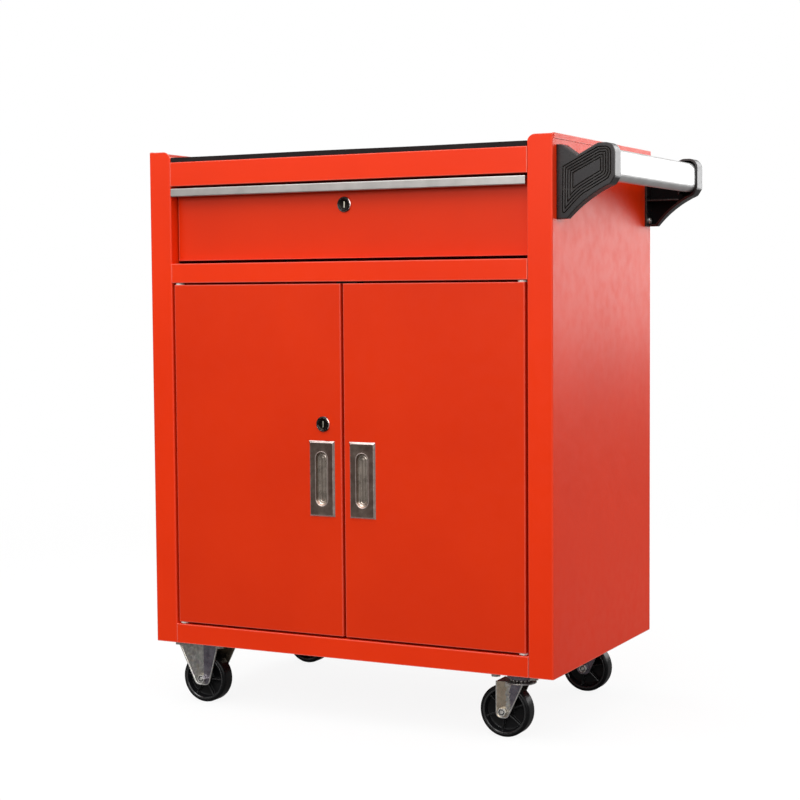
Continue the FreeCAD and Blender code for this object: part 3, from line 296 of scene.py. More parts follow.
def make(name, shape, body, looks, node, degrees):
    """A mesh piece in place of a CAD node; each face picks among the looks by its tone."""
    mesh = bpy.data.meshes.new(name)
    mesh.from_pydata([Vector(point) for point in shape.points], [], shape.faces)
    tones = [shape.tones.get(face, 0) for face in range(len(shape.faces))]
    mesh.polygons.foreach_set("material_index", tones)
    shaped = bmesh.new()
    shaped.from_mesh(mesh)
    bmesh.ops.remove_doubles(shaped, verts=shaped.verts, dist=WELD)
    bmesh.ops.recalc_face_normals(shaped, faces=shaped.faces)
    shaped.to_mesh(mesh)
    shaped.free()
    crisp(mesh, degrees)
    item = bpy.data.objects.new(name, mesh)
    bpy.context.scene.collection.objects.link(item)
    for look in looks:
        mesh.materials.append(LOOKS[look])
    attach(item, body)
    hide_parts(node)
    return item


class Shape:
    """Points and faces gathered for one piece, and the tone of each face that isn't 0."""

    def __init__(self):
        self.points = []
        self.faces = []
        self.tones = {}

    def loop(self, points):
        """Add points, and return their numbers."""
        start = len(self.points)
        self.points.extend(points)
        return list(range(start, start + len(points)))

    def bridge(self, first, second):
        """Join two closed loops of equal length with a band of four-sided faces."""
        count = len(first)
        for number in range(count):
            after = (number + 1) % count
            self.faces.append((first[number], first[after], second[after], second[number]))

    def skin(self, loops, closed=False):
        """Bridge each loop to the next one."""
        for first, second in zip(loops, loops[1:]):
            self.bridge(first, second)
        if closed:
            self.bridge(loops[-1], loops[0])

    def cap(self, loop):
        self.faces.append(tuple(loop))

    def slab(self, low, high):
        """A box with its own corners."""
        start = len(self.points)
        self.points.extend(product(*zip(low, high)))
        for face in ((0, 1, 3, 2), (4, 6, 7, 5), (0, 4, 5, 1),
                     (2, 3, 7, 6), (0, 2, 6, 4), (1, 5, 7, 3)):
            self.faces.append(tuple(start + corner for corner in face))


def around(count):
    """Cosine and sine of evenly spaced directions in a full turn."""
    angles = [2 * math.pi * number / count for number in range(count)]
    return [(math.cos(angle), math.sin(angle)) for angle in angles]


def rounded(corners, step=1.2 * MM):
    """Closed outline through (x, z, radius) corners, with an arc where there is a radius."""
    outline = []
    count = len(corners)
    for number, (x, z, radius) in enumerate(corners):
        here = Vector((x, z))
        if not radius:
            outline.append(here)
            continue
        before = (Vector(corners[number - 1][:2]) - here).normalized()
        after = (Vector(corners[(number + 1) % count][:2]) - here).normalized()
        half = before.angle(after) / 2
        reach = radius / math.tan(half)
        start, end = here + before * reach, here + after * reach
        centre = here + (before + after).normalized() * (radius / math.sin(half))
        turn = (start - centre).angle_signed(end - centre)
        pieces = max(3, round(abs(turn) * radius / step))
        for piece in range(pieces + 1):
            arm = start - centre
            arm.rotate(Matrix.Rotation(-turn * piece / pieces, 2))
            outline.append(centre + arm)
    return outline


def even(outline, step):
    """The outline with long edges divided so that no edge is much longer than step."""
    spaced = []
    for number, here in enumerate(outline):
        after = outline[(number + 1) % len(outline)]
        parts = max(1, round((after - here).length / step))
        spaced.extend(here.lerp(after, part / parts) for part in range(parts))
    return spaced


def edges_of(outline):
    """The edges of a closed outline, as pairs of points."""
    return zip(outline, outline[1:] + outline[:1])


def area_of(outline):
    """Area of a closed outline, positive where it runs anticlockwise."""
    return sum(a.x * b.y - b.x * a.y for a, b in edges_of(outline)) / 2


def distance_to(point, outline):
    """Distance from a point to the nearest edge of a closed outline."""
    gaps = []
    for a, b in edges_of(outline):
        along = b - a
        share = max(0.0, min(1.0, (point - a).dot(along) / max(along.length_squared, TINY)))
        gaps.append((point - a - along * share).length)
    return min(gaps)


def inset(outline, depth):
    """The outline moved inwards, without the points that would cross over."""
    if not depth:
        return list(outline)
    inward = 1 if area_of(outline) > 0 else -1
    least = depth * 0.985    # a point that ends up nearer to the outline than this has crossed over
    moved = []
    count = len(outline)
    for number, here in enumerate(outline):
        along = (outline[(number + 1) % count] - outline[number - 1]).normalized()
        candidate = here + Vector((-along.y, along.x)) * inward * depth
        if distance_to(candidate, outline) > least:
            moved.append(candidate)
    return moved


def contains(outline, point):
    """Whether a point lies inside a closed outline."""
    inside = False
    for a, b in edges_of(outline):
        spans = (a.y > point.y) != (b.y > point.y)
        if spans and point.x < a.x + (point.y - a.y) / (b.y - a.y) * (b.x - a.x):
            inside = not inside
    return inside


def relief(rings, hole=None):
    """Triangles over nested rings [(outline, height)], each point at its ring's height."""
    points, heights, borders = [], [], []
    for outline, height in rings:
        start = len(points)
        count = len(outline)
        points.extend(outline)
        heights.extend([height] * count)
        borders.extend((start + number, start + (number + 1) % count) for number in range(count))
    every_triangle, merge_distance = 0, 1e-7
    found, _, faces, source, _, _ = geometry.delaunay_2d_cdt(
        points, borders, [], every_triangle, merge_distance)
    lifted = [(point.x, point.y, heights[origin[0]] if origin else 0.0)
              for point, origin in zip(found, source)]
    kept = []
    for face in faces:
        middle = sum((found[number] for number in face), Vector((0, 0))) / len(face)
        if contains(rings[0][0], middle) and not (hole and contains(hole, middle)):
            kept.append(tuple(face))
    return lifted, kept


# ---------------------------------------------------------------- wheels

WHEEL_RIBS = 6
WHEEL_HALF = 12.25 * MM    # half the width of the tread
WHEEL_BORE = 4.1 * MM      # radius
WHEEL_RUBBER, WHEEL_GLINT = range(2)


def wheel_profile(half, hub, radius, bore):
    """Half section of a wheel as (along the axle, radius), symmetric about the middle."""
    shoulder, set_in, steps = 4.2 * MM, 0.25 * MM, 6    # of the rounded edge of the tread
    side = [
        (hub, bore + 0.6 * MM), (hub, 8.6 * MM), (hub - 0.8 * MM, 9.6 * MM), (5.0 * MM, 10.6 * MM),
        (3.0 * MM, 12.5 * MM), (2.6 * MM, 26.0 * MM), (3.6 * MM, 28.2 * MM), (9.0 * MM, 30.0 * MM),
        (half - 1.0 * MM, 30.6 * MM), (half, 31.6 * MM), (half - 0.1 * MM, 32.6 * MM),
        (half - 0.7 * MM, 33.0 * MM), (half - set_in, 33.5 * MM),
    ]
    for step in range(steps + 1):
        angle = math.pi / 2 * step / steps
        side.append((half - shoulder + (shoulder - set_in) * math.cos(angle),
                     radius - shoulder + shoulder * math.sin(angle)))
    crown = [(half * 0.3, radius), (0.0, radius)]
    mirrored = [(-along, height) for along, height in reversed(side + crown[:1])]
    bored = [(-hub + 0.6 * MM, bore), (hub - 0.6 * MM, bore)]
    return side + crown + mirrored + bored


def wheel(node, body, turn):
    """Moulded wheel: hub, dished web with ribs, stepped rim and a rounded tread.

    The turn is the angle of its first rib in degrees."""
    low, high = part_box(node)
    centre = (low + high) / 2
    radius = (high.z - low.z) / 2
    hub = (high.y - low.y) / 2
    shape = Shape()
    section = wheel_profile(WHEEL_HALF, hub, radius, WHEEL_BORE)
    loops = []
    for cosine, sine in around(120):
        loops.append(shape.loop([centre + Vector((height * cosine, along, height * sine))
                                 for along, height in section]))
    shape.skin(loops, closed=True)
    for face in range(len(shape.faces)):
        height = section[face % len(section)][1]
        if 29 * MM < height < 33 * MM:
            shape.tones[face] = WHEEL_GLINT
    # Each rib is a bar through four stations from the hub to the rim, in mm.
    stations = ((9.3, 11.4, 1.3), (10.6, 10.9, 1.2), (20.0, 8.4, 0.95), (29.6, 8.0, 0.9))
    crest = 3    # the side of the bar that is turned outwards
    for rib in range(WHEEL_RIBS):
        angle = math.radians(turn) + 2 * math.pi * rib / WHEEL_RIBS
        outward = Vector((math.cos(angle), 0, math.sin(angle)))
        across = Vector((-math.sin(angle), 0, math.cos(angle)))
        for face in (-1, 1):
            bars = []
            for reach, rise, thick in stations:
                bar = ((-thick - 0.3, 1.0), (-thick, rise - 0.4), (-thick + 0.4, rise),
                       (thick - 0.4, rise), (thick, rise - 0.4), (thick + 0.3, 1.0))
                here = centre + outward * reach * MM
                bars.append(shape.loop([
                    here + across * side * MM + Vector((0, face * level * MM, 0))
                    for side, level in bar]))
            first = len(shape.faces) + crest
            shape.skin(bars)
            for length in range(len(stations) - 1):
                shape.tones[first + length * len(bar)] = WHEEL_GLINT
            shape.cap(bars[0])
            shape.cap(bars[-1])
    make(node + "_moulded", shape, body, ("wheel_rubber", "wheel_glint"), node, 28)


# ---------------------------------------------------------------- flush pulls

def stadium(count, core, half_width, half_height):
    """Spots round a slot as (height on its core, outward angle), one of them towards each corner.

    Each quarter of a round end has so many steps; the core is half the straight part's length."""
    corner = math.atan2(half_height - core, half_width)
    angles = sorted([math.pi / 2 * number / count for number in range(count + 1)] + [corner])
    round_top = angles + [math.pi - angle for angle in reversed(angles[:-1])]
    steps = 14
    sides = [core * (1 - 2 * number / steps) for number in range(1, steps)]
    spots = [(core, angle) for angle in round_top]
    spots += [(height, math.pi) for height in sides]
    spots += [(-core, -angle) for angle in reversed(round_top)]
    spots += [(-height, 0.0) for height in sides]
    return spots


# Tones of a pull: the bevels and the lip take lighter copies of the nickel as painted highlights,
# and the cup floor a lighter copy as painted light
PLAIN_FACE, TOP_BEVEL, CUP_FLOOR, OTHER_BEVEL = range(4)
PULL_LOOKS = ("nickel", "nickel_top_bevel_highlight", "nickel_floor_light", "nickel_side_highlight")


def pull(node, body):
    """Pressed flush pull: a bevelled frame and a round-ended cup with a ridge along its floor."""
    low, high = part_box(node)
    half_width, half_height = (high.x - low.x) / 2, (high.z - low.z) / 2
    middle = Vector(((low.x + high.x) / 2, 0, (low.z + high.z) / 2))
    front, back = low.y, high.y
    sheet = front + 2.5 * MM
    core = 30 * MM
    spots = stadium(8, core, half_width, half_height)
    shape = Shape()

    def framed(edge, depth):
        """A rectangle that runs the given distance inside the frame's edge."""
        points = []
        for height, angle in spots:
            reach_x = (half_width - edge) / max(abs(math.cos(angle)), TINY)
            reach_z = (half_height - edge - abs(height)) / max(abs(math.sin(angle)), TINY)
            reach = min(reach_x, reach_z)
            x = max(-half_width + edge, min(half_width - edge, reach * math.cos(angle)))
            z = height + reach * math.sin(angle)
            z = max(-half_height + edge, min(half_height - edge, z))
            points.append(middle + Vector((x, depth, z)))
        return shape.loop(points)

    def slotted(radius, depth):
        """A slot outline with round ends, at a distance behind the frame's face; both in mm."""
        return shape.loop([
            middle + Vector((radius * MM * math.cos(angle), front + depth * MM,
                             height + radius * MM * math.sin(angle))) for height, angle in spots])

    loops = [framed(0, sheet), framed(0.25 * MM, sheet - 0.35 * MM),
             framed(2.4 * MM, front + 0.3 * MM), framed(3.0 * MM, front),
             framed(4.2 * MM, front + 0.12 * MM)]
    loops += [slotted(radius, depth) for radius, depth in (
        (10.9, 0.28), (10.0, 0.1), (9.4, 0.25), (9.0, 0.8), (8.7, 2.0), (8.2, 3.6), (7.4, 4.7),
        (6.6, 5.3), (5.6, 5.5), (4.6, 5.0), (3.6, 5.5), (1.9, 5.5), (0.4, 4.9))]
    for number, (outer, inner) in enumerate(zip(loops, loops[1:])):
        first = len(shape.faces)
        shape.bridge(outer, inner)
        # painted highlights on the bevels and the lip, painted light on the cup floor
        bevel, lip, floor_band = number < 3, number in (5, 6), number >= 9
        for spot, (height, angle) in enumerate(spots):
            upper = shape.points[outer[spot]][2] > middle.z + half_height - 4 * MM
            low_end = height < -core * 0.99 and math.sin(angle) < -0.2
            if bevel and upper:
                shape.tones[first + spot] = TOP_BEVEL
            elif bevel or lip or 8 <= number < 11 and low_end:
                shape.tones[first + spot] = OTHER_BEVEL
            elif floor_band:
                shape.tones[first + spot] = CUP_FLOOR
    shape.tones[len(shape.faces)] = CUP_FLOOR
    shape.cap(loops[-1])
    rear = [loops[0], framed(3.0 * MM, sheet), framed(3.0 * MM, back - 1.5 * MM),
            framed(3.5 * MM, back - 0.4 * MM), framed(4.6 * MM, back)]
    shape.skin(rear)
    shape.cap(rear[-1])
    make(node + "_pressed", shape, body, PULL_LOOKS, node, 24)


# ---------------------------------------------------------------- cam locks

LOCK_SPOKES = 64
BRIGHT = 1    # tone of a lock's second look: a painted highlight on the ring's right side, brass in the keyway


def turned(shape, centre, section, closed=True):
    """Turn a section of (radius, distance behind the centre) about an axis along Y."""
    rings = []
    for radius, back in section:
        rings.append(shape.loop([centre + Vector((radius * cosine, back, radius * sine))
                                 for cosine, sine in around(LOCK_SPOKES)]))
    shape.skin(rings, closed)
    return rings


def lock_face(name, body, plug_body):
    """Rolled ring round a dished plug with an open keyway."""
    low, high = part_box(name + "_housing")
    centre = Vector(((low.x + high.x) / 2, low.y, (low.z + high.z) / 2))
    depth = high.y - low.y
    ring = Shape()
    turned(ring, centre, [
        (9.2 * MM, depth), (9.2 * MM, 2.5 * MM), (11.2 * MM, 2.5 * MM), (11.25 * MM, 1.2 * MM),
        (11.0 * MM, 0.5 * MM), (10.5 * MM, 0.1 * MM), (10.1 * MM, 0.0), (9.7 * MM, 0.25 * MM),
        (9.5 * MM, 0.8 * MM), (9.5 * MM, 1.5 * MM), (6.5 * MM, 1.5 * MM), (6.5 * MM, depth)])
    for number, face in enumerate(ring.faces):
        corners = [Vector(ring.points[corner]) for corner in face]
        middle = sum(corners, Vector()) / len(face) - centre
        # painted highlight: the faces at the right of the rim take the bright copy, as a crescent
        right_of_rim = middle.x > 7.2 * MM and middle.z > -6.5 * MM and middle.y < 2 * MM
        if right_of_rim:
            ring.tones[number] = BRIGHT
    looks = ("dark_nickel", "nickel_side_highlight")
    make(name + "_ring", ring, body, looks, name + "_housing", 28)
    low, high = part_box(name + "_plug")
    centre.y = low.y
    depth = high.y - low.y
    plug = Shape()
    rings = turned(plug, centre, [
        (6.4 * MM, depth), (6.4 * MM, 1.9 * MM), (9.35 * MM, 1.9 * MM), (9.4 * MM, 0.8 * MM),
        (9.1 * MM, 0.2 * MM), (8.5 * MM, 0.0), (7.9 * MM, 0.15 * MM), (7.1 * MM, 1.0 * MM),
        (5.4 * MM, 1.25 * MM)], closed=False)
    plug.cap(rings[0])
    half_width, half_height = 1.1, 4.5    # of the keyway, in mm
    slot = []
    for reach, back in ((0.0, 1.3), (0.0, 1.6), (-0.1, 2.0)):
        points = []
        for across, up in around(LOCK_SPOKES):
            scale = min((half_width + reach) / max(abs(across), TINY),
                        (half_height + reach) / max(abs(up), TINY)) * MM
            points.append(centre + Vector((across * scale, back * MM, up * scale)))
        slot.append(plug.loop(points))
    plug.bridge(rings[-1], slot[0])
    plug.skin(slot)
    plug.tones[len(plug.faces)] = BRIGHT
    plug.cap(slot[-1])
    looks = ("lock_core", "keyway_brass")
    make(name + "_dished_plug", plug, plug_body, looks, name + "_plug", 28)


# ---------------------------------------------------------------- caster frames

def crossings(outline, height):
    """Left and right limits of an outline at a height."""
    found = []
    for a, b in edges_of(outline):
        if (a.y > height) != (b.y > height):
            found.append(a.x + (height - a.y) * (b.x - a.x) / (b.y - a.y))
    return min(found), max(found)


PLAIN, RIM_HIGHLIGHT, COOL_SHADE, WARM_LIGHT = range(4)
LEG_LOOKS = ("zinc_plate", "zinc_rim_highlight", "zinc_cool_shade", "zinc_warm_light")
LEG_THICK = 2.5 * MM
LEG_FACE = 17 * MM       # from a caster's middle to a leg's outer face
PLATE_THICK = 3 * MM


def pressed_leg(shape, corners, face, way, lean, tone):
    """A sheet leg with a raised rim painted bright as a highlight; lean is its set-back along x,
    and tone gives each face's painted light or shade.
    """
    outline = rounded(corners, 0.7 * MM)
    toe = min(point.y for point in outline)
    top = max(point.y for point in outline)
    heights = [toe + height * MM
               for height in (0.02, 0.3, 0.7, 1.2, 1.8, 2.5, 3.2, 4.2, 5.5, 7.0, 9.0)]
    while heights[-1] < top - 5 * MM:
        heights.append(heights[-1] + 4 * MM)
    heights.append(top - 0.01 * MM)
    borders = [0.0, 0.3, 0.9, 1.6, 2.2, 3.0]    # columns near an edge, in mm where the leg is wide
    steps = 12
    loops = []
    for height in heights:
        left, right = crossings(outline, height)
        fit = min(1.0, (right - left) / (9 * MM)) * MM
        columns = [left + border * fit for border in borders]
        inner_left, inner_right = left + borders[-1] * fit, right - borders[-1] * fit
        columns += [inner_left + (inner_right - inner_left) * step / steps
                    for step in range(1, steps)]
        columns += [right - border * fit for border in reversed(borders)]
        front, rear = [], []
        for x in columns:
            if height < top - 3 * MM:
                gap = distance_to(Vector((x, height)), outline) / MM
            else:
                gap = min(x - left, right - x) / MM
            rise = max(0.0, 0.5 - gap * 1.6) if gap < 1.6 else 0.8 * min(1.0, (gap - 1.6) / 0.9)
            back = lean(x)
            front.append((x, face + way * (rise * MM + back), height))
            rear.append((x, face + way * (LEG_THICK + back), height))
        loops.append(shape.loop(front + rear[::-1]))
    across = len(columns) - 1
    for row, (lower, upper) in enumerate(zip(loops, loops[1:])):
        first = len(shape.faces)
        shape.bridge(lower, upper)
        for column in range(across):
            # painted highlight on the rim columns and the lowest rows; the other faces take the
            # painted light or shade that tone gives
            rim = min(column, across - 1 - column) < 3 or row < 4
            middle = (shape.points[lower[column]][0] + shape.points[lower[column + 1]][0]) / 2
            shape.tones[first + column] = RIM_HIGHLIGHT if rim else tone(middle)
        # painted light: the rear faces take the lit copy
        for column in range(across + 1, 2 * across + 1):
            shape.tones[first + column] = WARM_LIGHT
    shape.cap(loops[0])
    shape.cap(loops[-1])


def plate(shape, low, high):
    """A caster's top plate with round corners and a broken lower edge."""
    corner, broken = 7 * MM, 0.5 * MM
    outline = rounded([(low.x, low.y, corner), (high.x, low.y, corner),
                       (high.x, high.y, corner), (low.x, high.y, corner)])
    bottom = inset(outline, broken)
    if len(bottom) != len(outline):
        bottom = outline
    under = high.z - PLATE_THICK
    loops = [shape.loop([(point.x, point.y, height) for point in ring])
             for ring, height in ((outline, high.z), (outline, under + broken), (bottom, under))]
    shape.skin(loops)
    shape.cap(loops[0])
    shape.cap(loops[-1])
    # painted shadow: the whole plate takes the shaded copy of the zinc
    shape.tones.update((number, COOL_SHADE) for number in range(len(shape.faces)))


def rigid_frame(node):
    """Fixed caster frame: plate, narrow crown and two pressed legs, one the other's mirror."""
    low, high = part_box(node)
    centre = (low + high) / 2
    half = (high.x - low.x) / 2
    shape = Shape()
    plate(shape, low, high)
    under = high.z - PLATE_THICK
    waist = Vector((28 * MM, LEG_FACE, 0))
    shape.slab((centre.x - waist.x, centre.y - waist.y, under - LEG_THICK),
               (centre.x + waist.x, centre.y + waist.y, under))
    for way in (1, -1):
        def across(x):
            return centre.x - way * x * MM

        def lean(x):
            place = (centre.x - x) * way / MM
            wing = max(0.0, place - 12) * 0.06 if place > 0 else max(0.0, -place - 3) * 0.10
            return min(wing, 1.7) * MM

        # painted shade: the leaning wing of each leg takes the shaded copy
        def tone(x):
            return COOL_SHADE if (x - centre.x) * way > 3 * MM else PLAIN

        corners = [(across(half / MM), under, 0), (across(-28), under, 0),
                   (across(-11), low.z, 9 * MM), (across(12), low.z, 9 * MM)]
        pressed_leg(shape, corners, centre.y - way * LEG_FACE, way, lean, tone)
    make(node + "_pressed", shape, "cabinet", LEG_LOOKS, node, 26)


def swivel_frame(node, body, plate_node):
    """Swivel fork: crown disc, bridge and two pressed legs that trail to the axle."""
    low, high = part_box(node)
    plate_low, plate_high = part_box(plate_node)
    king = (plate_low + plate_high) / 2
    shape = Shape()
    back, front = low.x, king.x + 10 * MM
    fold = back + 15 * MM    # behind it the leg is flat, before it the leg leans in
    shape.slab((back, king.y - 16 * MM, high.z - 2.3 * MM),
               (front, king.y + 16 * MM, high.z - 0.2 * MM))
    rings = []
    for radius, drop in ((5.05, 0.0), (21.2, 0.0), (22.0, 0.8),
                         (22.0, 1.9), (21.2, 2.5), (5.05, 2.5)):
        rings.append(shape.loop([(king.x + radius * MM * cosine, king.y + radius * MM * sine,
                                  high.z - drop * MM) for cosine, sine in around(56)]))
    shape.skin(rings, closed=True)

    def lean(x):
        return min(1.7 * MM, max(0.0, x - back - 15 * MM) * 0.12)

    # painted light on the flat part of the leg, painted shade on the part that leans in
    def tone(x):
        return WARM_LIGHT if x < fold else PLAIN if x < back + 21 * MM else COOL_SHADE

    corners = [(back, high.z, 0), (front, high.z, 0), (back + 18 * MM, low.z, 7.5 * MM),
               (back, low.z, 7.5 * MM)]
    for way in (1, -1):
        pressed_leg(shape, corners, king.y - way * LEG_FACE, way, lean, tone)
    # painted shadow: the rear fork takes the shaded copy all over
    looks = LEG_LOOKS if node.endswith("front") else ("zinc_cool_shade",) * len(LEG_LOOKS)
    make(node + "_pressed", shape, body, looks, node, 26)


def recessed(node, body):
    """The node's own mesh, with a ring pressed into every bolt head that faces the front; the
    ring's sunk faces are painted dark as shade.
    """
    bright, dark = 0, 1
    source = frame["nodes"][node]
    shaped = bmesh.new()
    shaped.from_mesh(source.data)
    shaped.transform(source.matrix_world)
    bmesh.ops.remove_doubles(shaped, verts=shaped.verts, dist=WELD)
    bmesh.ops.dissolve_limit(shaped, angle_limit=math.radians(0.5), verts=shaped.verts,
                             edges=shaped.edges)
    least_head = 60 * MM * MM
    heads = [face for face in shaped.faces
             if face.normal.y < -0.999 and face.calc_area() > least_head]
    for head in heads:
        # painted shade: the sunk wall and floor of each ring take the dark copy of the nickel
        for thick, depth, tone in ((1.5, 0.0, bright), (0.5, -1.0, dark),
                                   (1.2, 0.0, dark), (0.4, 0.7, bright)):
            sides = bmesh.ops.inset_individual(shaped, faces=[head], thickness=thick * MM,
                                               depth=depth * MM)
            for face in sides["faces"]:
                face.material_index = tone
    shape = Shape()
    shape.points = [tuple(vertex.co) for vertex in shaped.verts]
    shaped.verts.index_update()
    for number, face in enumerate(shaped.faces):
        shape.faces.append(tuple(vertex.index for vertex in face.verts))
        if face.material_index == dark:
            shape.tones[number] = dark
    shaped.free()
    make(node + "_recessed", shape, body, ("zinc_bright", "dark_nickel"), node, 28)


# ---------------------------------------------------------------- handle brackets

def bracket_outline(left, low, right, high):
    """Side outline of a handle bracket, starting at its lower inner corner."""
    foot = Vector((left + 15.5 * MM, low))
    chin = Vector((right - 6 * MM, low + 45.5 * MM))
    sweep = 160 * MM    # radius of the curved lower edge
    chord = chin - foot
    rise = math.sqrt(sweep ** 2 - (chord.length / 2) ** 2)
    centre = (foot + chin) / 2 + Vector((chord.y, -chord.x)).normalized() * rise
    start = math.atan2(foot.y - centre.y, foot.x - centre.x)
    stop = math.atan2(chin.y - centre.y, chin.x - centre.x)
    steps = 24
    angles = [start + (stop - start) * step / steps for step in range(1, steps - 2)]
    under = [(centre.x + sweep * math.cos(angle), centre.y + sweep * math.sin(angle), 0)
             for angle in angles]
    corners = [(left, low, 0), (left + 3 * MM, low, 0), (left + 3.2 * MM, low, 0),
               (foot.x, foot.y, 0)]
    corners += under + [
        (chin.x, chin.y, 8 * MM), (right, chin.y + 10 * MM, 8 * MM), (right, high, 14 * MM),
        (left + 60 * MM, high, 10 * MM), (left + 29.5 * MM, high - 16 * MM, 1.5 * MM),
        (left + 7 * MM, high, 0.8 * MM), (left, high, 0),
    ]
    return even(rounded(corners), 2.0 * MM)


def panel_outline(left, low, right, high):
    """Outline of the grooved field on the bracket's outer face."""
    corners = [
        (left + 8 * MM, low + 7 * MM, 1.0 * MM), (left + 12 * MM, low + 7 * MM, 1.5 * MM),
        (left + 36 * MM, low + 31 * MM, 60 * MM), (right - 9 * MM, low + 52 * MM, 6 * MM),
        (right - 5 * MM, low + 60 * MM, 5 * MM), (right - 5 * MM, high - 5 * MM, 9 * MM),
        (left + 60 * MM, high - 5 * MM, 8 * MM), (left + 9 * MM, low + 71 * MM, 2 * MM),
    ]
    return even(rounded(corners), 1.6 * MM)


GROOVE = 2.2 * MM    # how deep the grooves of the outer face are
GROOVE_SHADE, NOSE_REFLECTION = 1, 2    # tones beside the plain plastic: painted shade in the grooves, a painted reflection on the nose band


def bracket(node):
    """Hollow moulded bracket with a stepped relief on its outer face, open towards the tube."""
    low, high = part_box(node)
    front = node.endswith("front")
    depth = high.y - low.y
    wall = 3 * MM
    outline = bracket_outline(low.x, low.z, high.x, high.z)
    panel = panel_outline(low.x, low.z, high.x, high.z)
    shape = Shape()

    def placed(x, z, inward):
        """A point so far in from the closed face; below the tube the open side slopes back."""
        slim = (13 + 13 * (z - low.z + 1 * MM) / (46.5 * MM)) * MM
        if x > low.x + wall + 0.1 * MM:
            inward = min(inward, slim)
        return (x, low.y + inward if front else high.y - inward, z)

    def spread(rings, hole=None):
        """Cover the rings with faces; the deep ones get the painted groove shade, except round a
        hole.
        """
        points, faces = relief(rings, hole)
        start = len(shape.points)
        shape.points.extend(placed(*point) for point in points)
        for face in faces:
            if sum(points[number][2] for number in face) > 3 * GROOVE * len(face) / 4 and not hole:
                shape.tones[len(shape.faces)] = GROOVE_SHADE
            shape.faces.append(tuple(start + number for number in face))

    rings = [(outline, 1.0 * MM), (inset(outline, 0.3 * MM), 0.35 * MM),
             (inset(outline, 0.9 * MM), 0.0)]
    for step in range(5):    # nested grooves, each field a little lower than the one round it
        edge = 3.6 * MM * step
        level = 0.1 * MM * step
        rings += [(inset(panel, edge), level), (inset(panel, edge + 0.3 * MM), GROOVE),
                  (inset(panel, edge + 1.3 * MM), GROOVE), (inset(panel, edge + 1.6 * MM), level)]
    least_points = 8    # a ring with no more has shrunk to nothing
    spread([ring for ring in rings if len(ring[0]) > least_points])
    inner = inset(outline, wall)
    outer_loops = [shape.loop([placed(point.x, point.y, inward) for point in outline])
                   for inward in (1.0 * MM, 3.4 * MM, depth)]
    shape.skin(outer_loops)
    spread([(outline, depth), (inner, depth)], hole=inner)
    inner_loops = [shape.loop([placed(point.x, point.y, inward) for point in inner])
                   for inward in (depth, wall)]
    shape.skin(inner_loops)
    spread([(inner, wall)])
    tube_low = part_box("handle_tube")[0]
    upright = tube_low.x - 0.2 * MM
    rib_end = depth - 2 * MM
    # An upright rib behind the tube's end and a level one below, as (left, low), (right, high).
    ribs = (((upright - 2 * MM, tube_low.z - 2.3 * MM), (upright, high.z - 15 * MM)),
            ((low.x + 1 * MM, low.z + 38.5 * MM), (upright - 1 * MM, low.z + 40.5 * MM)))
    for (left, under), (right, over) in ribs:
        start, end = placed(left, under, 1.6 * MM), placed(right, over, rib_end)
        shape.slab([min(a, b) for a, b in zip(start, end)], [max(a, b) for a, b in zip(start, end)])
    item = make(node + "_moulded", shape, "cabinet",
                ("black_plastic", "bracket_groove_shade", "bracket_nose_reflection"), node, 30)
    face = low.y if front else high.y
    for polygon in item.data.polygons:
        centre, normal = polygon.center, polygon.normal
        # painted reflection: the band round the nose takes the pale grey look
        on_nose = normal.x > 0.5 and centre.x > high.x - 6 * MM and centre.z > low.z + 54 * MM
        if on_nose and abs(centre.y - face) > 3.4 * MM:
            polygon.material_index = NOSE_REFLECTION


# ---------------------------------------------------------------- top mat

def top_mat():
    """Rubber mat with notches for the posts, a rolled edge and a slightly uneven upper face."""
    low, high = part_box("top_mat")
    left_post, right_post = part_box("left_side_panel"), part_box("right_side_panel")
    play = 0.6 * MM
    notch_x, far_x = left_post[1].x + play, right_post[0].x - play
    notch_y = left_post[0].y + 23 * MM
    outline = [
        (notch_x, low.y, 1.5), (far_x, low.y, 1.5), (far_x, notch_y, 1.0), (high.x, notch_y, 3.0),
        (high.x, high.y, 6.0), (low.x, high.y, 6.0), (low.x, notch_y, 3.0), (notch_x, notch_y, 1.0),
    ]
    edge = even(rounded([(x, y, radius * MM) for x, y, radius in outline], 0.8 * MM), 8 * MM)
    thick = high.z - low.z
    roll = ((0.0, 1.6), (0.25, 0.8), (0.8, 0.25), (1.6, 0.0))    # (inwards, below the top) in mm
    shape = Shape()

    def wavy(x, y, rise):
        """Height of the upper face, with a shallow lie of its own."""
        sway = 0.25 * MM * (math.sin(x * 19) * math.cos(y * 13) - 1)
        return low.z + rise + sway * rise / thick

    previous = shape.loop([(point.x, point.y, low.z) for point in edge])
    shape.cap(previous[::-1])
    for inward, below in roll:
        loop = inset(edge, inward * MM)
        if len(loop) != len(edge):
            loop = edge
        current = shape.loop([(point.x, point.y, wavy(point.x, point.y, thick - below * MM))
                              for point in loop])
        shape.bridge(previous, current)
        previous = current
    shape.cap(previous)
    make("top_mat_rubber", shape, "cabinet", ("mat_rubber",), "top_mat", 32)


# ---------------------------------------------------------------- carried-over CAD nodes

SLOT_OF = {row["node"]: row["material_slot"] for row in frame["record"]["subparts"]}

# Nodes whose look isn't just their slot's.
LOOK_OF = {
    "drawer_pull_strip": "strip_aluminium",
    # the swivel plates take the shaded zinc as painted shadow
    "swivel_plate_front": "zinc_cool_shade",
    "swivel_plate_rear": "zinc_cool_shade",
    # the doors and drawer front take the shaded red copy as painted shade
    "left_door": "door_paint_shaded",
    "right_door": "door_paint_shaded",
    "drawer_front": "door_paint_shaded",
    "rigid_axle_nuts": "zinc_bright",
    "handle_screws": "zinc_bright",
}


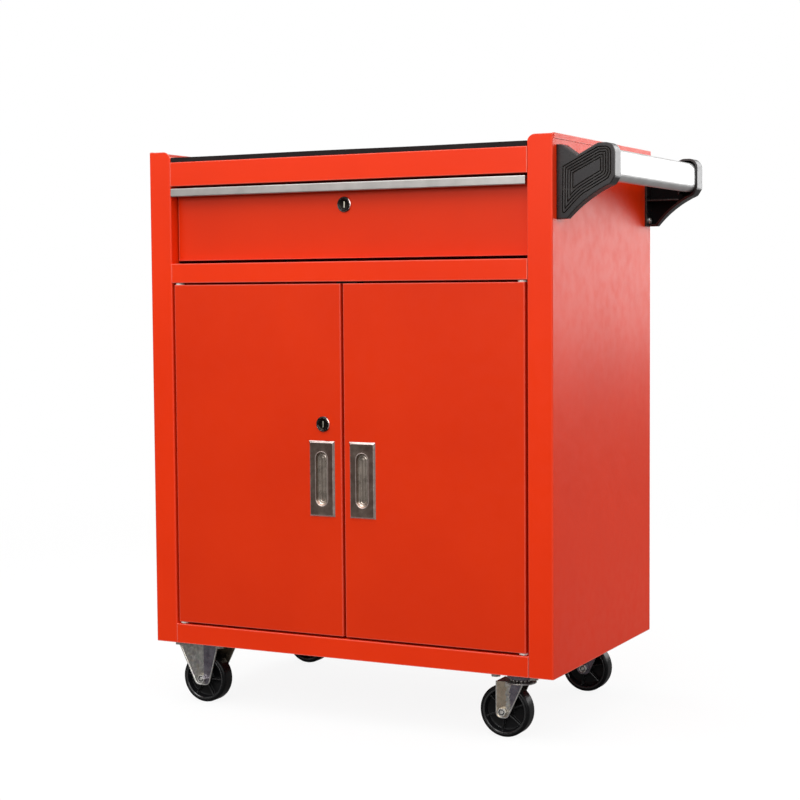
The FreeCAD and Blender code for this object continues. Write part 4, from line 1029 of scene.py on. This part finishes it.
def dress_frame():
    """Give every CAD node its look and smooth shading with crisp edges."""
    for name, item in frame["nodes"].items():
        look = LOOK_OF.get(name, SLOT_OF[name])
        item.data.materials.clear()
        item.data.materials.append(LOOKS[look])
        crisp(item.data, 30)


# ---------------------------------------------------------------- stage, lights and camera

def floor():
    """A pale plane much larger than the object, mostly see-through, so that its edge is lost."""
    mesh = bpy.data.meshes.new("floor")
    reach = 6.0
    corners = [(-reach, -reach, 0), (reach, -reach, 0), (reach, reach, 0), (-reach, reach, 0)]
    mesh.from_pydata(corners, [], [(0, 1, 2, 3)])
    item = bpy.data.objects.new("floor", mesh)
    bpy.context.scene.collection.objects.link(item)
    g = Graph("pale_floor")
    away = g.add("ShaderNodeVectorMath", operation="LENGTH")
    g.put(away.inputs[0], g.place)
    faded = g.add("ShaderNodeMapRange", interpolation_type="SMOOTHERSTEP")
    g.fill(faded, Value=away.outputs["Value"], From_Min=0.7, From_Max=3.2, To_Min=0.10, To_Max=0.0)
    pale = g.mix(g.noise(2.0), (0.86, 0.86, 0.86), (0.89, 0.89, 0.89))
    g.fill(g.shader, Base_Color=pale, Roughness=0.9, Specular_IOR_Level=0.1,
           Alpha=faded.outputs["Result"])
    mesh.materials.append(g.material)


def world(ambient, background):
    """Soft surroundings, brighter above, seen as plain white behind the object."""
    made = bpy.data.worlds.new("studio")
    bpy.context.scene.world = made
    made.use_nodes = True
    tree = made.node_tree
    tree.nodes.clear()
    seen, lit = (tree.nodes.new("ShaderNodeBackground") for _ in range(2))
    seen.inputs["Color"].default_value = (1.0, 1.0, 1.0, 1.0)
    seen.inputs["Strength"].default_value = background
    lit.inputs["Color"].default_value = (1.0, 0.99, 0.98, 1.0)
    place = tree.nodes.new("ShaderNodeTexCoord")
    split = tree.nodes.new("ShaderNodeSeparateXYZ")
    rising = tree.nodes.new("ShaderNodeMapRange")
    for name, setting in (("From Min", -0.5), ("From Max", 0.9), ("To Min", 0.3 * ambient),
                          ("To Max", 1.5 * ambient)):
        rising.inputs[name].default_value = setting
    choose = tree.nodes.new("ShaderNodeMixShader")
    path = tree.nodes.new("ShaderNodeLightPath")
    output = tree.nodes.new("ShaderNodeOutputWorld")
    for source, target in ((place.outputs["Generated"], split.inputs[0]),
                           (split.outputs["Z"], rising.inputs["Value"]),
                           (rising.outputs["Result"], lit.inputs["Strength"]),
                           (path.outputs["Is Camera Ray"], choose.inputs[0]),
                           (lit.outputs[0], choose.inputs[1]), (seen.outputs[0], choose.inputs[2]),
                           (choose.outputs[0], output.inputs[0])):
        tree.links.new(source, target)


def softbox(name, place, target, width, height, power):
    """A rectangular light that faces a target; power is in watts."""
    light = bpy.data.lights.new(name, "AREA")
    light.shape = "RECTANGLE"
    light.size, light.size_y = width, height
    light.energy = power
    item = bpy.data.objects.new(name, light)
    item.location = place
    item.rotation_mode = "QUATERNION"
    item.rotation_quaternion = (Vector(target) - Vector(place)).to_track_quat("-Z", "Y")
    item.visible_camera = False
    bpy.context.scene.collection.objects.link(item)


def sunlight(name, source, strength, spread):
    """A distant light from a direction, as soft as its spread in degrees."""
    light = bpy.data.lights.new(name, "SUN")
    light.energy = strength
    light.angle = math.radians(spread)
    item = bpy.data.objects.new(name, light)
    item.rotation_mode = "QUATERNION"
    item.rotation_quaternion = (-Vector(source)).to_track_quat("-Z", "Y")
    bpy.context.scene.collection.objects.link(item)


def camera():
    """Camera at the right front, a little above the middle of the doors."""
    place = (1.1973, -2.4382, 0.6384)
    azimuth, pitch, roll = math.radians(27.07), math.radians(-3.62), math.radians(-0.436)
    forward = Vector((-math.sin(azimuth) * math.cos(pitch), math.cos(azimuth) * math.cos(pitch),
                      math.sin(pitch)))
    level = Vector((math.cos(azimuth), math.sin(azimuth), 0))
    upright = level.cross(forward)
    right = level * math.cos(roll) + upright * math.sin(roll)
    up = right.cross(forward)
    lens = bpy.data.cameras.new("camera")
    lens.sensor_width = 36.0
    lens.lens = 79.416
    lens.clip_start, lens.clip_end = 0.05, 200.0
    item = bpy.data.objects.new("camera", lens)
    rows = [(right[row], up[row], -forward[row], place[row]) for row in range(3)]
    item.matrix_world = Matrix(rows + [(0, 0, 0, 1)])
    bpy.context.scene.collection.objects.link(item)
    bpy.context.scene.camera = item


# ---------------------------------------------------------------- the whole scene

dress_frame()
for end, left_turn, right_turn in (("front", -64, -40), ("rear", -20, 15)):
    wheel("wheel_%s_left" % end, "%s_left_wheel" % end, left_turn)
    wheel("wheel_%s_right" % end, "%s_right_wheel" % end, right_turn)
    bracket("handle_bracket_" + end)
    rigid_frame("rigid_caster_" + end)
    swivel_frame("swivel_fork_" + end, end + "_fork", "swivel_plate_" + end)
    recessed("swivel_axle_" + end, end + "_fork")
for side in ("left", "right"):
    pull(side + "_door_pull", side + "_door")
recessed("rigid_axle_bolts", "cabinet")
lock_face("door_lock", "left_door", "door_lock")
lock_face("drawer_lock", "drawer", "drawer_lock")
top_mat()

floor()
world(ambient=0.32, background=1.0)
sunlight("key", (0.60, -1.0, 0.62), 0.66, 50)
# Each softbox has its place, its target, its width and height, and its power.
softbox("right_panel", (1.75, 2.4, 1.40), (0.3, 0.0, 0.85), 3.0, 1.9, 46)
softbox("front_top", (-0.5, -1.6, 2.35), (0.0, -0.2, 0.8), 2.2, 1.0, 15)
softbox("front_low", (0.4, -2.2, 1.15), (0.0, -0.2, 0.75), 1.6, 0.8, 11)
softbox("front_left", (-1.1, -2.5, 1.55), (0.0, 0.0, 0.8), 2.4, 1.2, 11)
softbox("side_fill", (2.4, -0.5, 1.6), (0.37, 0.0, 0.6), 1.6, 1.6, 15)
softbox("overhead", (-0.5, -0.3, 2.9), (-0.2, 0.0, 0.8), 3.4, 2.0, 60)
camera()
bpy.context.scene.view_settings.view_transform = "Standard"
bpy.context.scene.view_settings.look = "None"
